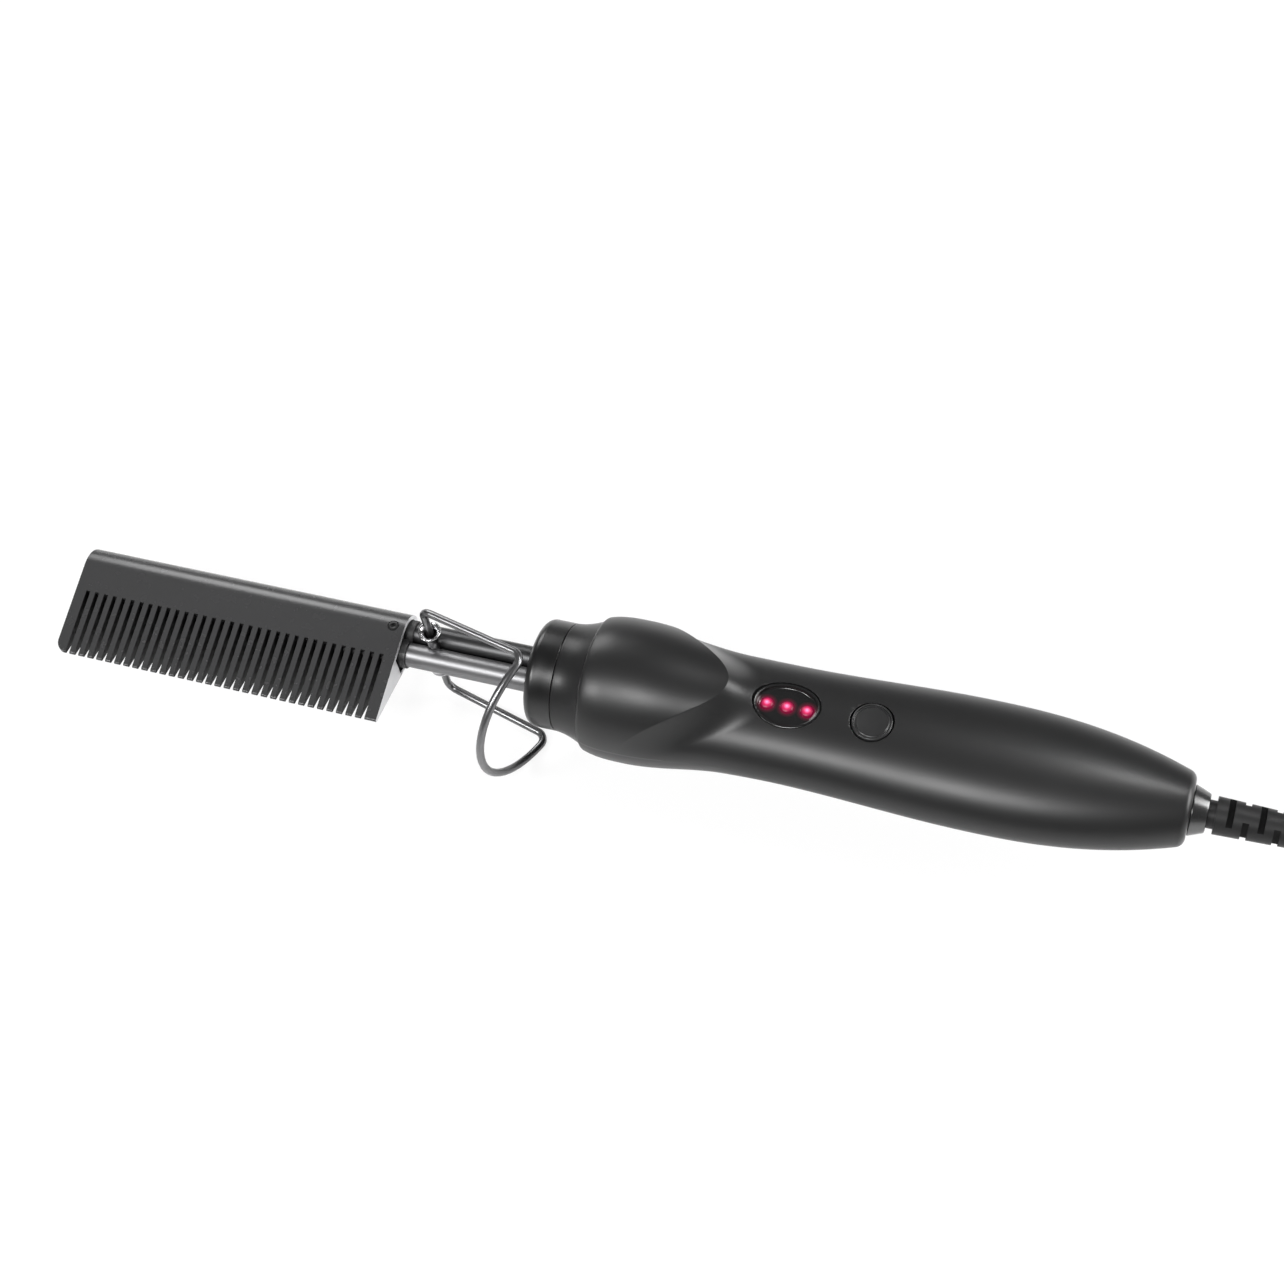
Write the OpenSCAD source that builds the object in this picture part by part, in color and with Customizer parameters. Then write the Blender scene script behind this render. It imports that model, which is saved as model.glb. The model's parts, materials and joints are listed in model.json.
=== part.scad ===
// Electric hot comb with a folding wire stand, three indicator lights and a swivelling cord.
// Millimetres. Sizes are set along the tool's own axis: x runs from the comb to the cord and is 0 at the
// seam between collar and neck, y points to the comb's spine and z out of the button face.

/* [Comb] */
// Length of the comb casting
comb_len = 84.6; // [70:0.1:110]
// Height of the comb from spine to tooth tips
comb_depth = 29.1; // [26:0.1:40]
// Radius of the rounded spine
spine_r = 5.7; // [5.2:0.1:8]
// How far the spine's top stands above the stem's axis
spine_rise = 7; // [6.5:0.1:9]
// Wall thickness of the casting
comb_wall = 1; // [0.8:0.1:1.6]
// Radius of the tooth tips
tip_r = 0.5; // [0.4:0.05:0.9]
// Number of slots between the teeth
slot_count = 33; // [10:1:34]
// Distance from slot to slot
slot_pitch = 2.43; // [1.8:0.01:2.5]
// Width of a slot
slot_w = 0.85; // [0.5:0.05:1.2]
// Length of the teeth
tooth_len = 15.8; // [8:0.1:20]
// Last slot's centre to the open end
slot_margin = 3.5; // [3.4:0.1:8]
// Corner radius at the far tooth
comb_corner_r = 4.4; // [2:0.1:8]
// Radius of the comb screw's head
comb_screw_r = 1.3; // [1:0.05:1.6]
// Distance of the comb screw from the open end
comb_screw_in = 2.9; // [2.2:0.1:6]

/* [Heater] */
// Gap between the heater bar and the casting
heater_gap = 0.25; // [0.1:0.05:0.5]
// Length of the heater bar
heater_len = 54; // [40:1:56]
// Width of the ceramic element
ptc_w = 5.6; // [4:0.1:6]
// Thickness of the ceramic element
ptc_t = 2.2; // [1.5:0.1:2.6]
// Length of the ceramic element
ptc_len = 46; // [30:1:50]
// Depth of the mounting block in the comb
mount_len = 14.5; // [10:0.5:18]
// How far the mounting block sits inside the open end
mount_inset = 0.8; // [0.4:0.1:2]
// How far its two sleeves stand out over the tubes
sleeve_out = 1.5; // [0.5:0.1:3]

/* [Stem] */
// Bare length of the stem between comb and collar
stem_len = 33.5; // [30:0.1:50]
// Diameter of each stem tube
tube_d = 5.8; // [5:0.1:6]
// Wall thickness of a stem tube
tube_wall = 0.6; // [0.4:0.1:1]
// Gap between the two stem tubes
tube_gap = 0.05; // [0.02:0.01:0.4]
// Length of tube inside the handle
tube_in_handle = 15; // [12:0.5:20]

/* [Wire stand] */
// Diameter of the stand's wire
wire_d = 1.9; // [1.4:0.1:2.4]
// Distance of the pivot from the comb's open end
pivot_gap = 7.2; // [5:0.1:12]
// Half width of the stand at the pivot
hook_half = 17.6; // [14:0.1:20]
// Half width of the stand at the foot
bend_half = 19.2; // [18.8:0.1:24]
// Length of the legs
leg_len = 28.7; // [24:0.1:30]
// Angle of the legs below the stem
leg_angle = 14; // [8:0.1:20]
// Length of the foot
foot_len = 20.4; // [19:0.1:22]
// Angle from the leg to the foot
foot_turn = 96.3; // [90:0.1:104]
// Half width of the foot's end before rounding
foot_half = 17.3; // [17.3:0.1:20]
// Rounding of the foot's end
foot_r = 18.8; // [8:0.1:18.8]
// Bend radius of the wire at hooks and foot
wire_bend_r = 2.6; // [2:0.1:4]
// Half length of the pivot bush
bush_half = 8.4; // [6:0.1:12]
// Wall thickness of the pivot bush
bush_wall = 0.55; // [0.4:0.05:0.8]
// Flare of the pivot bush's rims
bush_flare = 1.25; // [0.6:0.05:1.4]
// Running clearance of the stand's pins
pin_clear = 0.05; // [0.02:0.01:0.1]
// How deep each pin sits in the bush
pin_in = 6; // [3:0.1:6.4]

/* [Collar and neck] */
// Radius of the collar
collar_r = 12.9; // [12.2:0.1:14]
// Length of the collar
collar_len = 7; // [5:0.1:9]
// Edge radius of the collar
collar_edge = 2.2; // [0.8:0.1:2.6]
// Length of the neck
neck_len = 7.2; // [6:0.1:12]
// Radius of the neck where it meets the handle
neck_end_r = 15; // [14.4:0.1:15.4]
// Wall thickness of collar and neck
ring_wall = 1.6; // [1.2:0.1:2.2]

/* [Handle] */
// Length of the handle shells
handle_len = 138; // [125:1:170]
// Radius of the round bulb
bulb_r = 16.95; // [16.4:0.05:20]
// Bulb's widest place, from the neck
bulb_at = 9.8; // [8:0.1:14]
// Drop of the bulb's front edge
bulb_drop = 1.2; // [0.6:0.1:1.8]
// Bulb radius where the thumb hollow ends
bulb_tail_r = 13.9; // [13.4:0.1:16]
// Tip of the crease, from the neck
crease_at = 33.1; // [30:0.1:36]
// Fall of the crease to the sides
crease_fall = 0.08; // [0.06:0.005:0.085]
// Length of the thumb hollow's slope
hollow_len = 11; // [8:0.5:16]
// Width of the waist
waist_w = 29.4; // [27:0.1:33]
// Thickness of the waist
waist_t = 19.2; // [18.6:0.1:24]
// Width of the belly
belly_w = 32.4; // [29:0.1:38]
// Thickness of the belly
belly_t = 20.4; // [18.8:0.1:26]
// Waist's place, from the neck
waist_at = 45; // [43:1:50]
// Belly's place, from the neck
belly_at = 91; // [84:1:100]
// Width of the tail end
tail_w = 16.6; // [15.8:0.1:20]
// Thickness of the tail end
tail_t = 15.2; // [14.8:0.1:18]
// Edge radius of the tail end
tail_edge = 1.5; // [0.6:0.1:2]
// Wall thickness of the shells
shell_wall = 2; // [1.6:0.1:2.4]
// Front screw's place, from the neck
screw_front = 27; // [25:1:28]
// Rear screw's place, from the tail end
screw_rear = 22; // [21:1:24]
// Radius of a screw boss
boss_r = 3; // [2.6:0.1:3.4]
// Radius of a handle screw's thread
screw_r = 1.2; // [1:0.05:1.4]
// Radius of a handle screw's head
screw_head_r = 2.2; // [1.9:0.05:2.4]

/* [Controls] */
// Length of the indicator window
window_l = 15.7; // [14:0.1:18]
// Width of the indicator window
window_w = 11.5; // [9:0.1:13]
// Window's place, from the neck
window_at = 46.6; // [46:0.1:49]
// Depth of the window's dish
window_deep = 1.5; // [1:0.1:1.8]
// Thickness of the window's rim and floor
window_t = 1; // [0.8:0.1:1.2]
// Gap round the window and its step below the shell
window_gap = 0.15; // [0.05:0.05:0.3]
// Distance between the indicator lights
led_pitch = 4.7; // [3.6:0.1:5]
// Diameter of an indicator light
led_d = 3; // [2:0.1:3.2]
// Diameter of the power button
button_d = 9.7; // [8:0.1:11]
// Button's place, from the neck
button_at = 66.4; // [65:0.1:70]
// Gap round the power button
button_gap = 0.2; // [0.1:0.05:0.4]
// Travel of the power button
button_travel = 0.5; // [0.3:0.05:0.8]
// Length of the circuit board
board_l = 70; // [60:1:74]
// Width of the circuit board
board_w = 20; // [16:0.5:21]
// Thickness of the circuit board
board_t = 1.6; // [1:0.1:2]
// Height of the board's top above the handle's axis
board_z = 2.6; // [1.5:0.1:3]

/* [Cord] */
// Diameter of the cord
cord_d = 5.2; // [5:0.1:5.4]
// Radius of the swivel's shaft in the handle
swivel_r = 4.2; // [4:0.1:4.4]
// Radius of the swivel cone at the handle
cone_r = 5.8; // [5.4:0.1:6.4]
// Length of the swivel cone
cone_len = 3.6; // [3:0.1:6]
// Running clearance of the swivel
swivel_clear = 0.08; // [0.05:0.01:0.1]
// Length of the strain relief
relief_len = 38; // [30:1:50]
// Radius of the strain relief at the handle
relief_r = 4.3; // [4:0.1:5]
// Distance from slot to slot of the strain relief
relief_pitch = 3.4; // [3:0.1:4.5]
// Width of a strain relief slot
relief_slot = 1; // [0.6:0.1:1.4]
// Tightest fold of the tied cord
hank_fold = 15.6; // [15.6:0.1:18]
// Gap between the tied cord's turns
hank_gap = 0.6; // [0.55:0.05:0.8]
// Straight run of the tied cord
hank_run = 78; // [78:1:90]
// How far the tie draws each run in
hank_waist = 4; // [2:0.5:5]
// Length of the plug's body
plug_l = 34; // [30:1:40]
// Width of the plug's body
plug_w = 35.3; // [33:0.1:37]
// Thickness of the plug's body
plug_t = 13.7; // [12:0.1:14]
// Radius of a plug pin
plug_pin_r = 2; // [1.9:0.05:2.4]
// Length of a plug pin
plug_pin_l = 19; // [18:0.5:20]
// Distance between the plug's pins
plug_pin_gap = 19; // [18:0.1:20]

/* [Hidden] */
$fn = 48;

// ---- places along the axis ----
comb_end_x = -collar_len - stem_len;
comb_far_x = comb_end_x - comb_len;
pivot_x = comb_end_x + pivot_gap;
shell_x = neck_len;
tail_x = shell_x + handle_len;
window_x = shell_x + window_at;
button_x = shell_x + button_at;
crease_x = shell_x + crease_at;
board_x0 = window_x - 14;
seat_gap = 0.1;
cone_x = tail_x + seat_gap;
relief_x = cone_x + cone_len;
exit_x = relief_x + relief_len;

// ---- small shared maths ----
function mix(a, b, t) = a + (b - a) * t;
function clamp01(t) = min(max(t, 0), 1);
function ease(t) = (1 - cos(180 * clamp01(t))) / 2;
function unit(v) = v / norm(v);
function corner_inset(d, r) = d >= r ? 0 : r - sqrt(r * r - (r - d) * (r - d));

// ---- comb section: a big and a small circle joined by their common tangents ----
spine_y = spine_rise - spine_r;
tip_y = spine_rise - comb_depth + tip_r;
wedge = asin((spine_r - tip_r) / (spine_y - tip_y));
core_r = spine_r - comb_wall;
core_tip_r = 0.25;
core_tip_y = spine_y - (core_r - core_tip_r) / sin(wedge);

// Tangent outline from circle r1 at y1 down to circle r2 at y2
module wedge_outline(r1, y1, r2, y2) {
    side = asin((r1 - r2) / (y1 - y2));
    a = [r1 * cos(side), y1 + r1 * sin(side)];
    b = [r2 * cos(side), y2 + r2 * sin(side)];
    translate([0, y1]) circle(r = r1);
    translate([0, y2]) circle(r = r2);
    polygon([a, [-a[0], a[1]], [-b[0], b[1]], b]);
}

// Sweeps a section drawn as (z, y) along the tool's axis
module along_axis(x0, x1) {
    translate([x0, 0, 0])
        multmatrix([[0, 0, 1, 0], [0, 1, 0, 0], [-1, 0, 0, 0], [0, 0, 0, 1]])
            linear_extrude(x1 - x0) children();
}

// Cylinder or cone along the tool's axis
module rod(x0, x1, r, y = 0, z = 0, r2 = undef) {
    translate([x0, y, z]) rotate([0, 90, 0])
        cylinder(h = x1 - x0, r1 = r, r2 = is_undef(r2) ? r : r2);
}

// ---- bent wires and leads: straight runs with rounded corners, swept as one tube ----
function corner_angle(p, i) = acos(unit(p[i - 1] - p[i]) * unit(p[i + 1] - p[i]));
function corner_arm(p, i, r, k) = p[i] + unit(p[k] - p[i]) * r / tan(corner_angle(p, i) / 2);
function corner_centre(p, i, r) = p[i] + unit(unit(p[i - 1] - p[i]) + unit(p[i + 1] - p[i]))
    * r / sin(corner_angle(p, i) / 2);
function corner_arc(p, i, r, n) = let (c = corner_centre(p, i, r), a = corner_arm(p, i, r, i - 1) - c,
        b = corner_arm(p, i, r, i + 1) - c, w = 180 - corner_angle(p, i))
    [for (k = [0 : n]) c + (a * sin(w * (1 - k / n)) + b * sin(w * k / n)) / sin(w)];
function rounded_path(p, r, n) = concat([p[0]], [for (i = [1 : len(p) - 2]) each corner_arc(p, i, r[i], n)],
    [p[len(p) - 1]]);

// Each ring stands square to the route; up is a direction that the route never takes
function ahead(p, i) = unit(p[min(i, len(p) - 2) + 1] - p[min(i, len(p) - 2)]);
function tangent(p, i) = unit(ahead(p, max(i - 1, 0)) + ahead(p, i));
module tube(p, d, sides, up = [0, 0, 1]) {
    n = len(p);
    points = [for (i = [0 : n - 1]) let (t = i == n - 1 ? ahead(p, i) : i == 0 ? ahead(p, 0) : tangent(p, i),
            s = unit(cross(t, up)), u = cross(s, t))
        for (k = [0 : sides - 1]) p[i] + d / 2 * (s * cos(360 * k / sides) + u * sin(360 * k / sides))];
    walls = [for (i = [0 : n - 2], k = [0 : sides - 1]) let (m = (k + 1) % sides) each [
        [i * sides + k, i * sides + m, (i + 1) * sides + m],
        [i * sides + k, (i + 1) * sides + m, (i + 1) * sides + k]]];
    ends = [for (k = [1 : sides - 2]) each [[0, k + 1, k],
        [(n - 1) * sides, (n - 1) * sides + k, (n - 1) * sides + k + 1]]];
    polyhedron(points, concat(walls, ends));
}
function route_len(p, i = 1) = i >= len(p) ? 0 : norm(p[i] - p[i - 1]) + route_len(p, i + 1);

// ---- wire stand ----
foot_angle = -leg_angle - foot_turn;
function stand_side(s) = [
    [pivot_x, 0, s * (bush_half + 0.5)],
    [pivot_x, 0, s * hook_half],
    [pivot_x + leg_len * cos(leg_angle), -leg_len * sin(leg_angle), s * bend_half],
    [pivot_x + leg_len * cos(leg_angle) + foot_len * cos(foot_angle),
        -leg_len * sin(leg_angle) + foot_len * sin(foot_angle), s * foot_half]];
stand_corners = concat(stand_side(1), [for (i = [3 : -1 : 0]) stand_side(-1)[i]]);
stand_radii = [0, wire_bend_r, wire_bend_r, foot_r, foot_r, wire_bend_r, wire_bend_r, 0];
stand_route = rounded_path(stand_corners, stand_radii, 6);

// ---- the record's origin: middle of the tool's box, on the floor it lies on ----
bend_rise = max([for (p = stand_route) p[2]]);
axis_h = max(bend_rise + wire_d / 2, bulb_r);
foot_low = min([for (p = stand_route) p[1]]) - wire_d / 2;
comb_low = spine_rise - comb_depth;
centre_x = (comb_far_x + exit_x) / 2;
centre_y = (min(foot_low, comb_low) + bulb_r) / 2;

module seated() {
    translate([-centre_x, -centre_y, axis_h]) children();
}

// ---- comb ----
module comb_outline() {
    // Side view of the casting: rounded far corner, small rounding at the spine
    spine_corner = 2;
    translate([comb_far_x, comb_low]) difference() {
        square([comb_len, comb_depth]);
        difference() {
            translate([-1, -1]) square([comb_corner_r + 1, comb_corner_r + 1]);
            translate([comb_corner_r, comb_corner_r]) circle(r = comb_corner_r);
        }
        difference() {
            translate([-1, comb_depth - spine_corner]) square([spine_corner + 1, spine_corner + 1]);
            translate([spine_corner, comb_depth - spine_corner]) circle(r = spine_corner);
        }
    }
}

function wall_z(y) = (spine_r - (spine_y - y) * sin(wedge)) / cos(wedge);
comb_screw_x = comb_end_x - comb_screw_in;
comb_screw_y = 0.9;
comb_screw_deep = 0.9;

module comb_shell() {
    end_wall = comb_wall * 1.2;
    color("#484848") difference() {
        intersection() {
            along_axis(comb_far_x, comb_end_x) wedge_outline(spine_r, spine_y, tip_r, tip_y);
            translate([0, 0, -spine_r - 1]) linear_extrude(2 * spine_r + 2) comb_outline();
        }
        along_axis(comb_far_x + end_wall, comb_end_x + 1)
            wedge_outline(core_r, spine_y, core_tip_r, core_tip_y);
        for (i = [0 : slot_count - 1])
            translate([comb_end_x - slot_margin - i * slot_pitch - slot_w / 2, comb_low - 1, -spine_r - 1])
                cube([slot_w, tooth_len + 1, 2 * spine_r + 2]);
        translate([comb_screw_x, comb_screw_y, 0])
            cylinder(r = comb_screw_r + seat_gap / 2, h = spine_r + 1);
    }
}

module comb_screw() {
    head_top = wall_z(comb_screw_y) - 0.15;
    color("#1d1d1d") translate([comb_screw_x, comb_screw_y, 0]) difference() {
        translate([0, 0, head_top - comb_screw_deep]) {
            cylinder(r = comb_screw_r, h = comb_screw_deep);
            translate([0, 0, -1.2]) cylinder(r = comb_screw_r * 0.62, h = 1.3);
        }
        translate([0, 0, head_top - 0.45]) cylinder(r = comb_screw_r * 0.5, h = 1, $fn = 6);
    }
}

mount_x1 = comb_end_x - mount_inset;
mount_x0 = mount_x1 - mount_len;
heater_x1 = mount_x0 - 5;
heater_x0 = heater_x1 - heater_len;
tube_y = (tube_d + tube_gap) / 2;
tube_x0 = mount_x0 + 1.5;

module heater_bar() {
    r = core_r - heater_gap;
    color("#b8b8b4") difference() {
        rod(heater_x0, heater_x1, r, spine_y);
        translate([heater_x0 - 1, spine_y - ptc_w / 2 - seat_gap, -ptc_t / 2 - seat_gap])
            cube([heater_len + 2, ptc_w + 2 * seat_gap, ptc_t + 2 * seat_gap]);
    }
}

module ptc_element() {
    color("#d9d2c0")
        translate([heater_x0 + 3, spine_y - ptc_w / 2, -ptc_t / 2]) cube([ptc_len, ptc_w, ptc_t]);
}

module comb_mount() {
    fit = 0.12;
    low = -tube_y - tube_d / 2 - 0.9;
    color("#262626") difference() {
        intersection() {
            along_axis(mount_x0, comb_end_x + sleeve_out)
                wedge_outline(core_r - fit, spine_y, core_tip_r, core_tip_y + fit / sin(wedge));
            union() {
                translate([mount_x0 - 1, low, -spine_r]) cube([mount_len + 1, comb_depth, 2 * spine_r]);
                for (s = [-1, 1]) rod(mount_x1 - 0.5, comb_end_x + sleeve_out, tube_d / 2 + 0.5, s * tube_y);
            }
        }
        for (s = [-1, 1]) rod(tube_x0, comb_end_x + sleeve_out + 1, tube_d / 2 + 0.02, s * tube_y);
        for (s = [-1, 1]) rod(mount_x0 - 1, tube_x0 + 1, 1.1, s * tube_y);
        translate([comb_screw_x, comb_screw_y, 0])
            cylinder(r = comb_screw_r * 0.62 + 0.03, h = spine_r + 1);
        translate([comb_screw_x, comb_screw_y, wall_z(comb_screw_y) - 0.2 - comb_screw_deep])
            cylinder(r = comb_screw_r + 0.05, h = spine_r);
    }
}

// ---- stem ----
module stem_tube(s) {
    x1 = tube_in_handle;
    difference() {
        rod(tube_x0, x1, tube_d / 2, s * tube_y);
        rod(tube_x0 - 1, x1 + 1, tube_d / 2 - tube_wall, s * tube_y);
        translate([pivot_x, 0, 0]) cylinder(r = bush_r + 0.02, h = 4 * tube_d, center = true);
    }
}
module stem_tube_spine() { color("#5a5a5c") stem_tube(1); }
module stem_tube_teeth() { color("#5a5a5c") stem_tube(-1); }

pin_r = wire_d / 2 * 0.94;
bush_bore = pin_r + pin_clear;
bush_r = bush_bore + bush_wall;
module pivot_bush() {
    // Each end is a cup: flared outside, countersunk inside
    rim = 0.5;
    cup = 3.6;
    sink = 1.8;
    rim_r = bush_r + bush_flare;
    color("#8a8a8c") translate([pivot_x, 0, 0]) rotate_extrude() polygon([
        [bush_bore, sink - bush_half], [rim_r - bush_wall, -bush_half], [rim_r, -bush_half],
        [rim_r, rim - bush_half], [bush_r, rim + cup - bush_half],
        [bush_r, bush_half - rim - cup], [rim_r, bush_half - rim],
        [rim_r, bush_half], [rim_r - bush_wall, bush_half], [bush_bore, bush_half - sink]]);
}

module wire_stand() {
    across = leg_angle + foot_turn / 2 - 90;
    color("#77777a") {
        tube(stand_route, wire_d, 12, [cos(across), -sin(across), 0]);
        for (s = [0, 180]) translate([pivot_x, 0, 0]) rotate([s, 0, 0]) translate([0, 0, bush_half - pin_in])
            cylinder(r = pin_r, h = pin_in + 2);
    }
}

// ---- collar, neck and clamp ----
clamp_r = 9.2;
spigot_r = collar_r - ring_wall - 0.05;
module front_collar() {
    color("#101011") difference() {
        rotate([0, 90, 0]) rotate_extrude($fn = 96) difference() {
            union() {
                translate([0, -collar_len + collar_edge]) square([collar_r, collar_len - collar_edge]);
                translate([0, -collar_len]) square([collar_r - collar_edge, collar_edge + 0.1]);
                translate([collar_r - collar_edge, -collar_len + collar_edge]) circle(r = collar_edge);
            }
            translate([-1, -collar_len + ring_wall]) square([collar_r - ring_wall + 1, collar_len]);
            translate([-collar_r, -collar_len - 1]) square([collar_r, 2 * collar_len]);
        }
        for (s = [-1, 1]) rod(-collar_len - 1, 0, tube_d / 2 + seat_gap, s * tube_y);
    }
}

module neck_ring() {
    lip_r = (bulb_rad(shell_x) - shell_wall) * cos(90 / columns) - 0.08;
    // Concave flare from the collar's radius to the shells, with a spigot at each end
    steps = 6;
    step_in = 0.25;
    flare = [for (i = [0 : steps]) [mix(collar_r, neck_end_r, pow(i / steps, 1.7)), neck_len * i / steps]];
    spigot = collar_len - ring_wall - 0.3;
    color("#2c2c2d") rotate([0, 90, 0]) rotate_extrude($fn = 96) polygon(concat(
        [[clamp_r + 0.05, -spigot], [spigot_r, -spigot], [spigot_r, 0]], flare,
        [[lip_r, neck_len], [lip_r, neck_len + 3.2], [clamp_r + 0.05, neck_len + 3.2]]));
}

module stem_clamp() {
    color("#c9bfa8") difference() {
        union() {
            rod(-collar_len + ring_wall + 0.3, neck_len + 3.2, clamp_r);
            rod(neck_len + 3.2, neck_len + 5.2, clamp_r + 1.6);
        }
        for (s = [-1, 1]) rod(-collar_len - 1, 40, tube_d / 2 + 0.03, s * tube_y);
    }
}

// ---- handle surface: a round bulb that ends in a crease, then a flat oval grip ----
waist_x = shell_x + waist_at;
belly_x = shell_x + belly_at;
bulb_x = shell_x + bulb_at;
front_edge = 0.8;
bulb_fair = 28;
side_fair = 25;
back_fair = 39;
function bulb_rad(x) = x < bulb_x
    ? bulb_r - bulb_drop * pow((bulb_x - x) / bulb_at, 3)
    : mix(bulb_r, bulb_tail_r, ease((x - bulb_x) / bulb_fair));
function tail_drop(x, p) = pow(clamp01((x - belly_x) / (tail_x - belly_x)), p);
function half_w(x) = x < bulb_x ? bulb_rad(x)
    : x < bulb_x + side_fair ? mix(bulb_r, waist_w / 2, ease((x - bulb_x) / side_fair))
    : x < belly_x ? mix(waist_w, belly_w, ease((x - waist_x) / (belly_x - waist_x))) / 2
    : mix(belly_w, tail_w, tail_drop(x, 2.4)) / 2;
function half_top(x) = x < belly_x ? mix(waist_t, belly_t, ease((x - waist_x) / (belly_x - waist_x))) / 2
    : mix(belly_t, tail_t, tail_drop(x, 2.6)) / 2;
function half_back(x) = x < bulb_x ? bulb_rad(x)
    : x < bulb_x + back_fair ? mix(bulb_r, waist_t / 2, ease((x - bulb_x) / back_fair)) : half_top(x);
function edge_inset(x) = corner_inset(x - shell_x, front_edge) + corner_inset(tail_x - x, tail_edge);

// Crease of the thumb hollow at angle a from the top
function crease(a) = crease_x - crease_fall * pow(bulb_r * sin(a), 2);
function oval(x, a) = [half_w(x) * sin(a), half_top(x) * cos(a)];
function round_at(x, a) = [bulb_rad(x) * sin(a), bulb_rad(x) * cos(a)];
function hollow(x, a) = let (c = crease(a), s = clamp01((x - c) / hollow_len))
    oval(x, a) + (round_at(c, a) - oval(c, a)) * pow(1 - s, 2.2);
function upper_at(x, a, inset) = let (p = x <= crease(a) + 0.001 ? round_at(x, a) : hollow(x, a))
    p - (inset > 0 ? inset : edge_inset(x)) * [sin(a), cos(a)];
function lower_at(x, a, inset) = [half_w(x) * sin(a), half_back(x) * cos(a)]
    - (inset > 0 ? inset : edge_inset(x)) * [sin(a), cos(a)];

// Stations along the shell: the crease is a row of its own
front_rows = [0, 0.25, 0.8];
bulb_rows = 6;
hollow_rows = 6;
grip_rows = 13;
tail_rows = [1.5, 0.75, 0.25, 0];
function upper_rows(a) = let (c = crease(a), x0 = shell_x + front_rows[2], h = c + hollow_len,
        x1 = tail_x - tail_rows[0]) concat(
    [for (d = front_rows) shell_x + d],
    [for (i = [1 : bulb_rows]) mix(x0, c, i / bulb_rows)],
    [for (i = [1 : hollow_rows]) mix(c, h, pow(i / hollow_rows, 1.4))],
    [for (i = [1 : grip_rows]) mix(h, x1, i / grip_rows)],
    [for (i = [1 : 3]) tail_x - tail_rows[i]]);
function lower_rows() = let (x0 = shell_x + front_rows[2], x1 = tail_x - tail_rows[0]) concat(
    [for (d = front_rows) shell_x + d],
    [for (i = [1 : 20]) mix(x0, x1, i / 20)],
    [for (i = [1 : 3]) tail_x - tail_rows[i]]);

// Half shell with an end wall: side is 1 for the upper and -1 for the lower half
columns = 24;
end_wall = 2.4;
module half_shell(side) {
    turns = [for (j = [0 : columns]) side * (-90 + 180 * j / columns)];
    function rows(a) = side > 0 ? upper_rows(a) : lower_rows();
    function at(x, a, w) = let (p = side > 0 ? upper_at(x, a, w) : lower_at(x, a, w)) [x, p[0], side * p[1]];
    n = len(rows(0));
    shrink = (tail_x - end_wall - shell_x) / (tail_x - shell_x);
    outer = [for (i = [0 : n - 1], a = turns) at(rows(a)[i], a, 0)];
    inner = [for (i = [0 : n - 1], a = turns) let (x = rows(a)[i], p = at(x, a, shell_wall))
        [shell_x + (x - shell_x) * shrink, p[1], p[2]]];
    m = columns + 1;
    k = n * m;
    far = [[tail_x, 0, 0], [tail_x - end_wall, 0, 0]];
    skin = [for (i = [0 : n - 2], j = [0 : columns - 1]) each [
        [i * m + j, i * m + j + 1, (i + 1) * m + j + 1], [i * m + j, (i + 1) * m + j + 1, (i + 1) * m + j]]];
    lining = [for (f = skin) [k + f[2], k + f[1], k + f[0]]];
    mouth = [for (j = [0 : columns - 1]) each [[j + 1, j, k + j], [j + 1, k + j, k + j + 1]]];
    last = (n - 1) * m;
    cap = [for (j = [0 : columns - 1]) each [[last + j, last + j + 1, 2 * k],
        [k + last + j + 1, k + last + j, 2 * k + 1]]];
    edge = [for (i = [0 : n - 2]) each [
        [i * m, (i + 1) * m, k + (i + 1) * m], [i * m, k + (i + 1) * m, k + i * m],
        [(i + 1) * m + columns, i * m + columns, k + i * m + columns],
        [(i + 1) * m + columns, k + i * m + columns, k + (i + 1) * m + columns]]];
    shut = [[last, 2 * k, 2 * k + 1], [last, 2 * k + 1, k + last],
        [2 * k, last + columns, k + last + columns], [2 * k, k + last + columns, 2 * k + 1]];
    polyhedron(concat(outer, inner, far), concat(skin, lining, mouth, cap, edge, shut));
}

// ---- handle shells ----
boss_xs = [shell_x + screw_front, tail_x - screw_rear];
hole_r = swivel_r + swivel_clear;
pilot_gap = 0.04;
module window_prism(grow, z0, z1) {
    steps = 40;
    translate([window_x, 0, z0]) linear_extrude(z1 - z0) polygon([for (i = [0 : steps - 1])
        let (a = 360 * i / steps) [(window_l / 2 + grow) * cos(a), (window_w / 2 + grow) * sin(a)]]);
}

module handle_upper() {
    color("#2e2e2f") difference() {
        union() {
            half_shell(1);
            for (x = boss_xs) translate([x, 0, seat_gap / 2])
                cylinder(r = boss_r, h = upper_at(x, 0, shell_wall / 2)[1] - seat_gap / 2);
        }
        for (x = boss_xs) translate([x, 0, -1])
            cylinder(r = screw_r + pilot_gap, h = upper_at(x, 0, shell_wall)[1] - 0.5);
        window_prism(window_gap, board_z + 0.5, waist_t);
        translate([button_x, 0, board_z]) cylinder(d = button_d + 2 * button_gap, h = waist_t);
        rod(tail_x - 2 * end_wall, tail_x + 1, hole_r);
    }
}

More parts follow.
